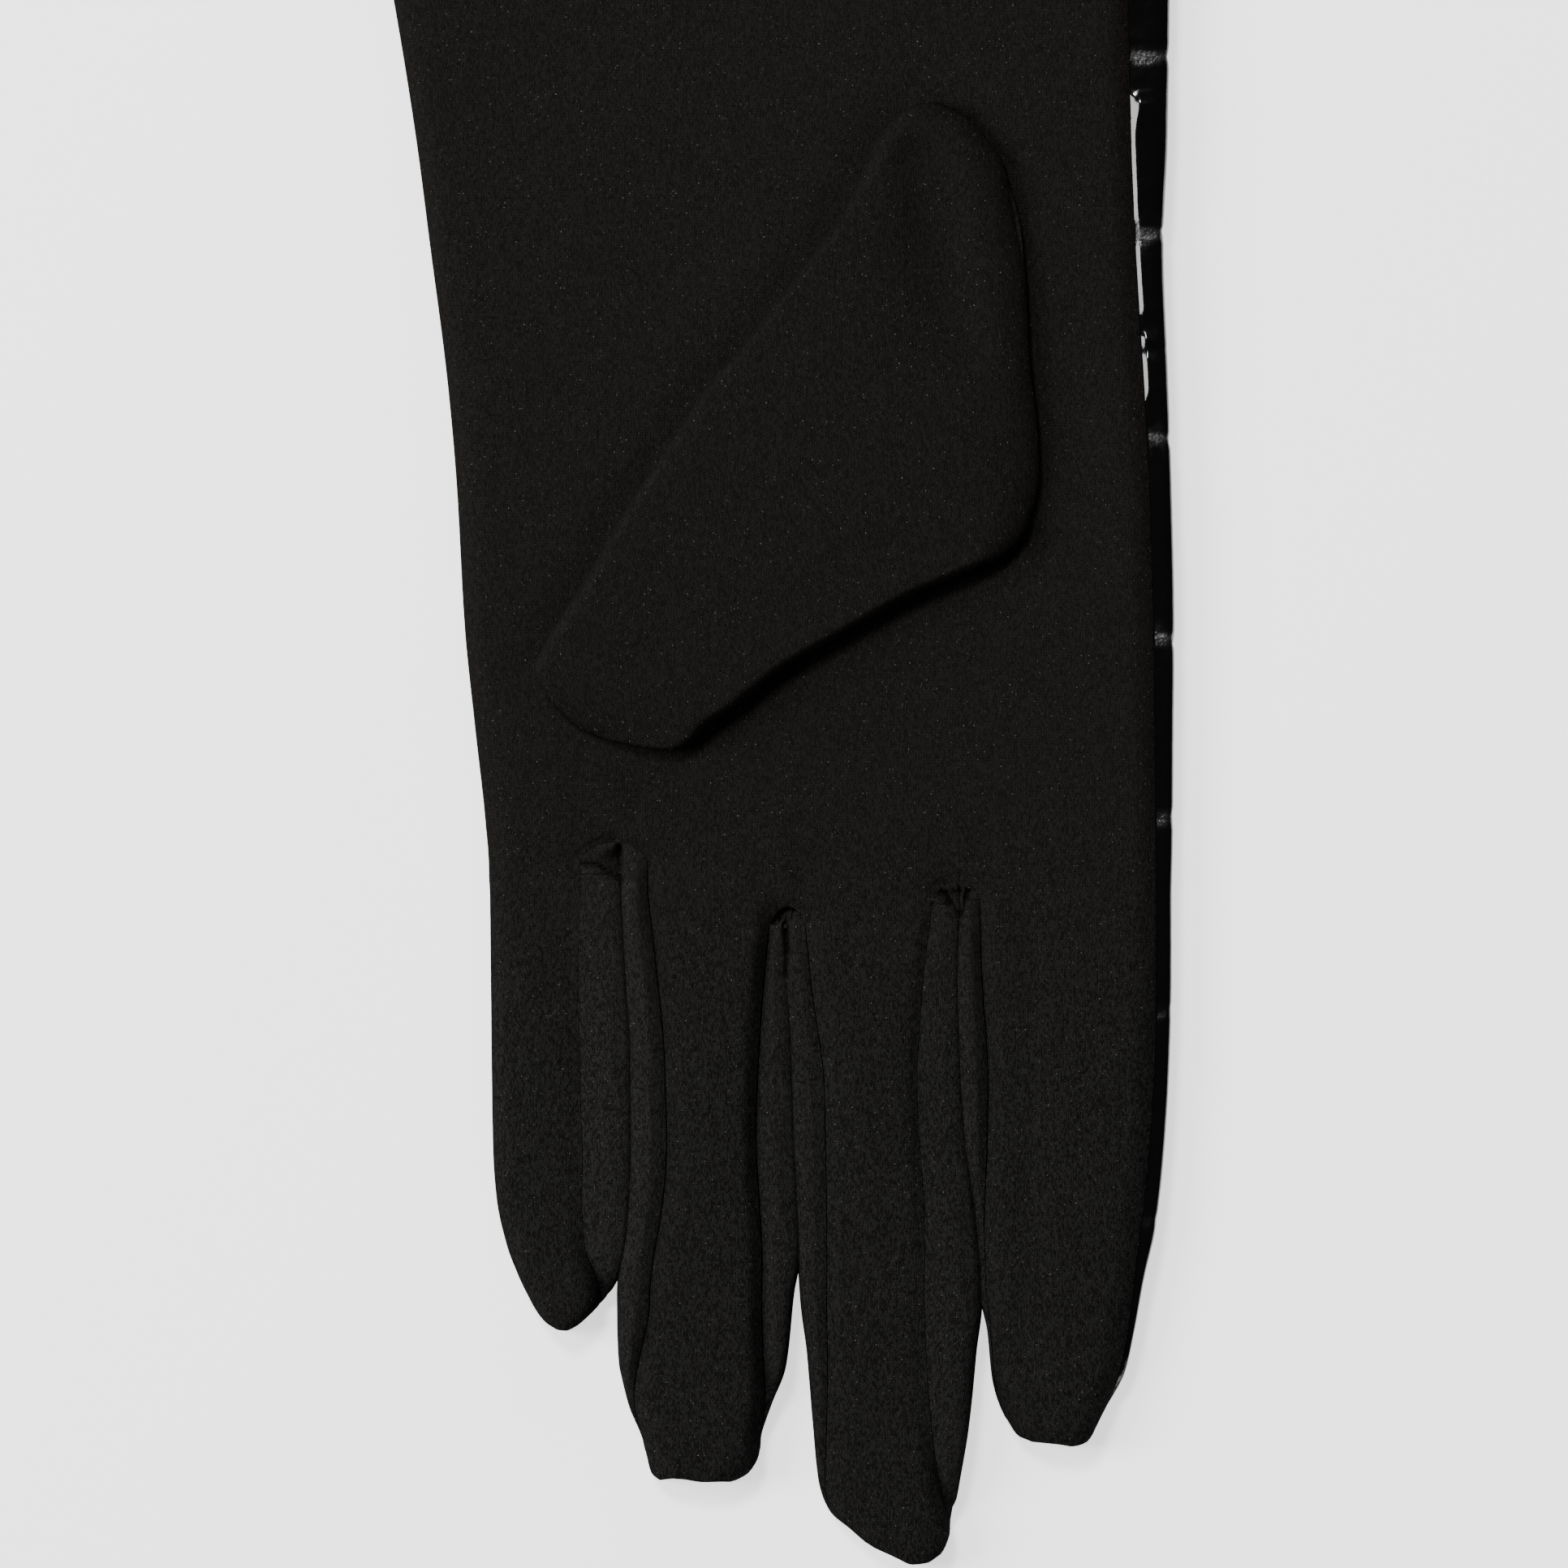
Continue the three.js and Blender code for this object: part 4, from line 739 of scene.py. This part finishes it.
def backGrid(yLeft, yRight, left, right, seam, rise, turned, x=None, y=None):
    flat = np.linspace(0, 1, back["columns"] + 1)[None]
    yLeft, yRight, left, right, seam, rise = (np.asarray(v, float)[:, None] for v in
                                             (yLeft, yRight, left, right, seam, rise))
    reach = lerp(*back["reach"], rise) if turned else hand["clearance"] * ease((-yRight) / 3)
    left = left + hand["clearance"]
    if x is None:
        x, y = lerp(left, right - reach, flat), lerp(yLeft, yRight, flat)
    thick = thickAt(y, hand["patentWall"])
    thick[:, 0] = hand["patentWall"]
    edge = x - x[:, [0]]
    if not turned:
        edge = np.minimum(edge, x[:, [-1]] - x)
    z = back["lift"] * (1 - np.clip(edge / back["edgeWidth"], 0, 1)) ** 2
    points, inner = [np.stack([x, y, z], axis=2)], [np.stack([x, y, thick], axis=2)]
    if turned:
        low = lerp(hand["patentWall"], back["low"], rise)
        wall = thickAt(yRight, hand["patentWall"])
        angle = np.linspace(0, math.pi / 2, back["turnSteps"])[None, 1:]
        aside, up = np.sin(angle), 1 - np.cos(angle)
        points.append(np.stack([right - reach + reach * aside, yRight + 0 * angle, low * up], axis=2))
        inner.append(np.stack([right - reach + (reach - wall) * aside, yRight + 0 * angle,
                               wall + np.maximum(low - wall, 0.02) * up], axis=2))
        out, lean = seamCut(rise)
        endX, endZ = seam + hand["seamGap"] * lean, frontTop(rise, hand["edgeDrop"]) - hand["seamGap"] * out
        power = 2 / back["boxy"]
        turn = math.radians(back["steep"])
        overTop = np.arccos(np.linspace(math.cos(turn) ** power, 0, back["sideSteps"])[1:] ** (1 / power))
        angle = np.concatenate([np.linspace(0, turn, 10)[1:], overTop])[None]
        lip = np.minimum(lipWidth(yRight), 0.6 * (right - endX))  # the strip's edge leans towards the palm
        crown = endZ + back["lipSlope"] * lip * rise
        sideX = lerp(endX, right, np.cos(angle) ** power)
        sideZ = lerp(low, crown, np.sin(angle) ** power)
        sideZ = sideZ - back["lipSlope"] * rise * np.clip(lip - (sideX - endX), 0, None)
        points.append(np.stack([sideX, yRight + 0 * sideX, sideZ], axis=2))
        innerX = lerp(endX - wall * out, right - wall, np.cos(angle) ** power)
        innerZ = lerp(low + 0.02, endZ - wall * lean, np.sin(angle) ** power)
        inner.append(np.stack([innerX, yRight + 0 * innerX, innerZ], axis=2))
    points, inner = np.concatenate(points, axis=1), np.concatenate(inner, axis=1)
    grain = grainOf(points, back["columns"] // 2)
    beyond = np.arange(points.shape[1])[None] - back["columns"]
    lines = 1 - ease((beyond + 3) / 3)  # the grooves that run along stop short of the turned-up strip
    groove = scaleGroove(grain[:, :, 0], grain[:, :, 1], lines)
    groove *= lerp(lerp(0.3, 1, ease((points[:, :, 1] + 25) / 60)), 1, lines)
    groove = groove * ease((hand["bodyLength"] - 1 - points[:, :, 1]) / 2)
    groove[:, 0] = 0
    groove[:, -1] *= 0.3
    return Grid(points, grain, inner=inner, groove=groove, flip=True)


def lipWidth(y):
    wide = back["lipWidth"] * lerp(1, 2.1, ease((y - 98) / 4)) * ease((103.5 - y) / 0.6) * ease((y - 63) / 2)
    return wide * (1 - ease((83 - y) / 3) * (ripple(y, y * 0, 3.2, 90) > 0.35)) + 0.01


def backGrids():
    grids = []
    for i, finger in enumerate(fingers.values()):
        yLeft, yRight = heightsDown(finger, hand["webRun"])
        left, right = fingerSide(finger, "left", yLeft), fingerSide(finger, "right", yRight)
        grid = backGrid(yLeft, yRight, left[0], right[0], right[1], right[2], i == 3)
        for k, column in ((0, 0), (1, back["columns"])):
            if finger["splits"][k]:
                share = readTable(splits, finger["splits"][k], back["splitAt"])
                grid.points[0, column, 0] = grid.inner[0, column, 0] = hand["palmWidth"] * share
                grid.points[0, column, 2] = 0
        grids.append(grid)
    line = joinRows([grid.points[0] for grid in grids])[:len(grids) * back["columns"] + 1]
    count = int(hand["bodyLength"] * 0.92 / back["rowsApart"])
    rows = [(share, 1.0) for share in np.linspace(1, hand["fanFrom"], count)]
    rows += [(hand["fanFrom"], blend) for blend in np.linspace(1, 0, 12)[1:]]
    share, blend = np.array(rows).T[:, :, None]
    y = lerp(line[None, :, 1], share * hand["bodyLength"], blend)
    up = np.clip(y / hand["bodyLength"], 0, 1)
    right, seam = bodyEdge("right", up[:, -1]), bodyEdge("seam", up[:, -1])
    spread = (line[:, 0] - line[0, 0]) / (line[-1, 0] - line[0, 0])
    x = lerp(bodyEdge("left", up) + hand["clearance"], bodyEdge("right", up) - back["reach"][1], spread)
    x = lerp(line[None, :, 0], x, np.minimum(1, blend * hand["fanRate"]))
    whole = backGrid(y[:, 0], y[:, -1], x[:, 0], right, seam, np.ones(len(y)), True, x, y)
    whole.points[-1] = joinRows([grid.points[0] for grid in grids])
    whole.inner[-1] = joinRows([grid.inner[0] for grid in grids])
    return [whole] + grids


# Gussets between the fingers

gusset = {
    "steps": 23, "puff": 5.6, "crown": 7.5, "ends": 0.957, "touch": 0.4, "roll": 1.5,
    "tones": [1.3, 1.14, 1.14],  # painted light: how much lighter than the palm each gusset's cloth is painted, for the light its slopes catch
    "tucks": [((720, 1054), (767, 1084), (767, 1036), 1.9), ((1186, 1128), (1168, 1096), (1193, 1095), 0.8)],
    "creases": [  # from and to, in the photograph's pixels, with depth and width in millimetres
        (763, 1044, 764, 1064, 2.2, 0.36), (730, 1061, 766, 1084, 1.3, 0.24),
        (957, 1136, 967, 1121, 1.6, 0.32), (967, 1121, 984, 1119, 1.3, 0.3),
        (968, 1140, 971, 1174, 1.7, 0.34), (971, 1174, 968, 1204, 0.8, 0.24),
        (1166, 1100, 1172, 1112, 1.8, 0.42), (1193, 1098, 1191, 1107, 1.8, 0.38),
        (1172, 1112, 1185, 1127, 0.9, 0.28), (1191, 1107, 1187, 1127, 0.6, 0.24),
    ],
}


def fromPhoto(x, y):
    return np.array([(x - knuckles[0]) * pixel, (knuckles[1] - y) * pixel])


def webCreases(x, y):
    deep = np.zeros_like(x)
    for x0, y0, x1, y1, depth, width in gusset["creases"]:
        start = fromPhoto(x0, y0)
        run = fromPhoto(x1, y1) - start
        along = np.clip(((x - start[0]) * run[0] + (y - start[1]) * run[1]) / (run @ run), 0, 1)
        away = np.hypot(x - start[0] - along * run[0], y - start[1] - along * run[1])
        deep = np.maximum(deep, depth * np.exp(-(away / width) ** 2))
    for (x0, y0), (x1, y1), (x2, y2), depth in gusset["tucks"]:  # a corner of cloth that sinks into the web
        area = (x1 - x0) * (y2 - y0) - (x2 - x0) * (y1 - y0)
        px, py = x / pixel + knuckles[0], knuckles[1] - y / pixel
        first = ((x1 - px) * (y2 - py) - (x2 - px) * (y1 - py)) / area
        second = ((x2 - px) * (y0 - py) - (x0 - px) * (y2 - py)) / area
        edges = ease(first / 0.07) * ease(second / 0.4) * ease((1 - first - second) / 0.08)
        deep = np.maximum(deep, depth * (1 - first) * edges)
    return deep


def gussetRows(finger, side, ys):
    k, sign = (0, -1) if side == "left" else (1, 1)
    split = finger["splits"][k]
    across, up = webs[split]
    near = np.clip((ys - up + hand["webLength"]) / hand["webLength"], 0, 1)
    footY = ys - hand["webRun"] * ease(near)
    _, seam, rise = fingerSide(finger, side, ys)
    foot, _, _ = fingerSide(finger, side, footY)
    out, lean = seamCut(rise)
    drop, gap = seamDrop(finger, k, ys), seamSpace(finger, k, ys)
    topX = seam + sign * gap * lean * np.sqrt(1 - near ** 4)
    topZ = np.maximum(frontTop(rise, drop) - gap * out, tableEdge + 0.02)
    apex = near >= 1
    footX = np.where(apex, splitLine(split, footY), foot)
    topX = np.where(apex, across, topX)
    angle = np.linspace(0, math.pi / 2, gusset["steps"])[None]
    power = 2 / gusset["puff"]
    crown = topZ + np.maximum(gusset["crown"] - topZ, 0) * rise ** 2 * (1 - near ** 2) \
        * ease((np.abs(footX - topX) - 0.9) / 2.4)
    taper = ease((-ys / finger["length"] - 0.9) / 0.05)  # it ends in a point at the tip
    footX = topX + sign * np.maximum(sign * (footX - topX) * (1 - taper), np.where(apex, 0, 0.04))
    share = np.sin(angle) ** power
    apart = hand["palmWidth"] * readTable(finger, side + "In", -ys / finger["length"])
    touch = gusset["touch"] * (1 - ease(apart / 0.8)) * (1 - near ** 6) * (1 - taper) * rise
    x = lerp(footX[:, None], topX[:, None], 1 - np.cos(angle) ** power)
    x = x + sign * touch[:, None] * ease(share / 0.6) * (1 - ease((share - 0.9) / 0.1))
    z = lerp(tableEdge, crown[:, None], share)
    away = np.abs(x - topX[:, None]) / np.minimum(gusset["roll"], 0.4 * np.abs(footX - topX) + 0.05)[:, None]
    z = np.maximum(z - (crown - topZ)[:, None] * (1 - np.clip(away, 0, 1)) ** 2, tableEdge)
    y = lerp(footY[:, None], (ys - gap * lean * near ** 2)[:, None], np.sin(angle))
    z = np.maximum(z - webCreases(x, y) * np.sin(angle) ** 0.5, tableEdge)
    return np.stack([x, y, z], axis=2), rise


def gussetGrid(leftFinger, rightFinger):
    down, over = heightsDown(leftFinger)[1], heightsDown(rightFinger)[0]
    down = down[-down / leftFinger["length"] <= gusset["ends"]][::-1]
    over = over[-over / rightFinger["length"] <= gusset["ends"]][1:]
    downRows, downRise = gussetRows(leftFinger, "right", down)
    overRows, overRise = gussetRows(rightFinger, "left", over)
    points = np.concatenate([downRows, overRows])
    rise = np.full(points.shape[:2], np.nan)
    rise[:, 0], rise[:, -1] = 0, np.concatenate([downRise, overRise])
    wide = grainOf(points, 0)[:, :, 0] - points[:, [0], 0]
    along = np.linalg.norm(np.diff(points[:, gusset["steps"] // 2], axis=0), axis=1)
    grain = np.stack([wide, np.concatenate([[0], np.cumsum(along)])[:, None] + 0 * wide], axis=2)
    return Grid(points, grain, rise)


def finish(piece, node):
    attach(piece, "root")
    if node:
        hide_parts(node)


palmPiece = makeShell("palm_cloth", palmGrids(), hand["jerseyWall"], jerseyCloth,
                      hole=lambda points: points[:, 2] > 6)
finish(palmPiece, "palm_panel")
thumbPiece = makeShell("thumb_cloth", [thumbGrid()], hand["jerseyWall"], thumbShadedJersey,
                       hole=lambda points: points[:, 2] < hand["height"] + thumb["gap"] + 0.05)
finish(thumbPiece, "thumb")
backPiece = makeShell("patent_back", backGrids(), hand["patentWall"], patentCloth, relief=patent["relief"],
                      sharp=34)
finish(backPiece, "back_panel")
order = list(fingers)
for leftName, rightName, tone in zip(order, order[1:], gusset["tones"]):
    between = leftName + "_" + rightName
    grid = gussetGrid(fingers[leftName], fingers[rightName])
    # painted light: each gusset's cloth is a lighter copy of the jersey
    cloth = makeJersey("gusset_lit_jersey_" + between, tone)
    gussetPiece = makeShell("gusset_" + between, [grid], hand["jerseyWall"], cloth)
    finish(gussetPiece, "fourchette_" + between)


# Stitches along the palm's hem

stitch = {
    "fromHem": 10.4, "fromLeft": 4.6, "fromSeam": 2.4, "steps": 90, "apart": 3.1, "length": 2.3,
    "thread": 0.2, "lift": 0.08, "sway": 0.12, "seed": 4,
    "twist": 420.0, "twistDepth": 0.00004, "roughness": 0.5,
    # painted sheen: the thread's light colour stands for the sheen on its plies
    "dark": (0.005, 0.0046, 0.0042), "light": (0.02, 0.0185, 0.017),
}


def stitchNodes(material):
    group = bpy.data.node_groups.new("hem_stitches", "GeometryNodeTree")
    group.interface.new_socket("Path", in_out="INPUT", socket_type="NodeSocketGeometry")
    names = {}
    for name, kind in (("Apart", "Float"), ("Length", "Float"), ("Thread", "Float"), ("Seed", "Int")):
        socket = group.interface.new_socket(name, in_out="INPUT", socket_type="NodeSocket" + kind)
        names[name] = socket.identifier
    group.interface.new_socket("Stitches", in_out="OUTPUT", socket_type="NodeSocketGeometry")
    kinds = ("NodeGroupInput", "NodeGroupOutput", "GeometryNodeMeshToCurve", "GeometryNodeResampleCurve",
             "GeometryNodeInstanceOnPoints", "GeometryNodeMeshUVSphere", "ShaderNodeCombineXYZ",
             "GeometryNodeTransform", "FunctionNodeRandomValue", "GeometryNodeRealizeInstances",
             "GeometryNodeSetMaterial")
    nodes = [group.nodes.new(kind) for kind in kinds]
    given, made, curve, resample, place, bead, size, shape, sway, real, coat = nodes
    resample.mode = "LENGTH"
    bead.inputs["Segments"].default_value = 10
    bead.inputs["Rings"].default_value = 8
    sway.data_type = "FLOAT_VECTOR"
    sway.inputs["Min"].default_value = (0, 0, -stitch["sway"])
    sway.inputs["Max"].default_value = (0, 0, stitch["sway"])
    coat.inputs["Material"].default_value = material
    for source, output, target, socket in (
            (given, "Path", curve, "Mesh"), (curve, "Curve", resample, "Curve"),
            (given, "Apart", resample, "Length"), (given, "Length", size, "X"), (given, "Thread", size, "Y"),
            (given, "Thread", size, "Z"), (bead, "Mesh", shape, "Geometry"),
            (size, "Vector", shape, "Scale"), (given, "Seed", sway, "Seed"),
            (resample, "Curve", place, "Points"), (shape, "Geometry", place, "Instance"),
            (sway, "Value", place, "Rotation"), (place, "Instances", real, "Geometry"),
            (real, "Geometry", coat, "Geometry"), (coat, "Geometry", made, "Stitches")):
        group.links.new(source.outputs[output], target.inputs[socket])
    return group, names


def makeThread():
    looks = Nodes("hem_thread")
    spot = looks.add("TexCoord")["Object"]
    twist = looks.add("TexWave", {"Vector": spot, "Scale": stitch["twist"]})["Fac"]
    # painted sheen and shade: the colour follows the twist, lighter on the plies and darker between them
    looks.put("Base Color", looks.mix(twist, dyed(stitch["dark"]), dyed(stitch["light"])))
    looks.put("Normal", looks.bump(twist, stitch["twistDepth"]))
    looks.put("Roughness", stitch["roughness"])
    return looks.material


def hemPath(cloth):  # a line over the cloth's top, as far from the hem as its stitches are
    y = hand["bodyLength"] - stitch["fromHem"]
    left, right = (bodyEdge(side, y / hand["bodyLength"]) for side in ("left", "seam"))
    spots = np.zeros(len(cloth.data.vertices) * 3)
    cloth.data.vertices.foreach_get("co", spots)
    spots = spots.reshape(-1, 3) * 1000 - shift
    spots = spots[(np.abs(spots[:, 1] - y) < 0.7) & (spots[:, 2] > hand["height"] - 1.2)]
    x = np.linspace(left + stitch["fromLeft"], right - stitch["fromSeam"], stitch["steps"])
    z = np.array([spots[np.abs(spots[:, 0] - one) < 1.8, 2].max() for one in x]) + stitch["lift"]
    path = bpy.data.meshes.new("hem_path")
    points = (np.stack([x, 0 * x + y, z], axis=1) + shift) / 1000
    path.from_pydata(points.tolist(), [(i, i + 1) for i in range(len(x) - 1)], [])
    return addObject("hem_path", path)


def addStitches(cloth):
    carrier = hemPath(cloth)
    maker = carrier.modifiers.new("stitches", "NODES")
    maker.node_group, names = stitchNodes(makeThread())
    for name, value in (("Apart", stitch["apart"] / 1000), ("Length", stitch["length"] / 2000),
                        ("Thread", stitch["thread"] / 1000), ("Seed", stitch["seed"])):
        maker[names[name]] = value
    bpy.context.view_layer.update()
    ready = carrier.evaluated_get(bpy.context.evaluated_depsgraph_get())
    mesh = bpy.data.meshes.new_from_object(ready)
    carrier.modifiers.clear()
    bpy.data.objects.remove(carrier)
    mesh.name = "hem_stitches"
    finish(addObject("hem_stitches", mesh), None)
    print("hem stitched with", len(mesh.polygons), "faces")


addStitches(palmPiece)
print("glove sewn")


# Floor, lights and camera

studio = {
    "floor": (0.92, 0.92, 0.92), "floorSize": 3, "floorGlow": 1.3, "world": 0.04,
    "north": {"place": (-0.42, 0.82, 1.85), "size": (0.42, 0.4), "power": 39.0},
    "low": {"place": (0.1, 1.3, 0.6), "size": (1.2, 0.5), "power": 7.0},
    "west": {"place": (-1.15, 0.1, 1.0), "size": (0.65, 0.9), "power": 29.0},
    "south": {"place": (0.3, -1.1, 0.9), "size": (0.8, 0.5), "power": 4.5},
    "camera": (0.00267, -0.01393, 2.0), "lens": 354.0,
}


def addFloor():
    size = studio["floorSize"]
    corners = [(-size, -size, 0), (size, -size, 0), (size, size, 0), (-size, size, 0)]
    mesh = bpy.data.meshes.new("floor")
    mesh.from_pydata(corners, [], [(0, 1, 2, 3)])
    looks = Nodes("pale_floor")
    looks.put("Base Color", dyed(studio["floor"]))
    looks.put("Roughness", 0.8)
    looks.put("Specular IOR Level", 0.1)
    looks.put("Emission Color", (1, 1, 1, 1))
    looks.put("Emission Strength", studio["floorGlow"])
    mesh.materials.append(looks.material)
    addObject("floor", mesh)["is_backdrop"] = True


def addLight(name):
    values = studio[name]
    data = bpy.data.lights.new(name, "AREA")
    data.shape = "RECTANGLE"
    data.size, data.size_y = values["size"]
    data.energy = values["power"]
    light = addObject(name, data)
    light.location = values["place"]
    light.rotation_euler = (-Vector(values["place"])).to_track_quat("-Z", "Y").to_euler()


addFloor()
for name in ("north", "low", "west", "south"):
    addLight(name)
world = bpy.data.worlds.new("studio")
world.use_nodes = True
sky = world.node_tree.nodes["Background"].inputs
sky["Color"].default_value = (1, 1, 1, 1)
sky["Strength"].default_value = studio["world"]
bpy.context.scene.world = world
lens = bpy.data.cameras.new("camera")
lens.lens, lens.clip_end = studio["lens"], 20
camera = addObject("camera", lens)
camera.location = studio["camera"]
bpy.context.scene.camera = camera
print("studio set")

boxes = {"cad": cadBox, "visual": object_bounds()}
{name: [list(corner) for corner in box] for name, box in boxes.items()}
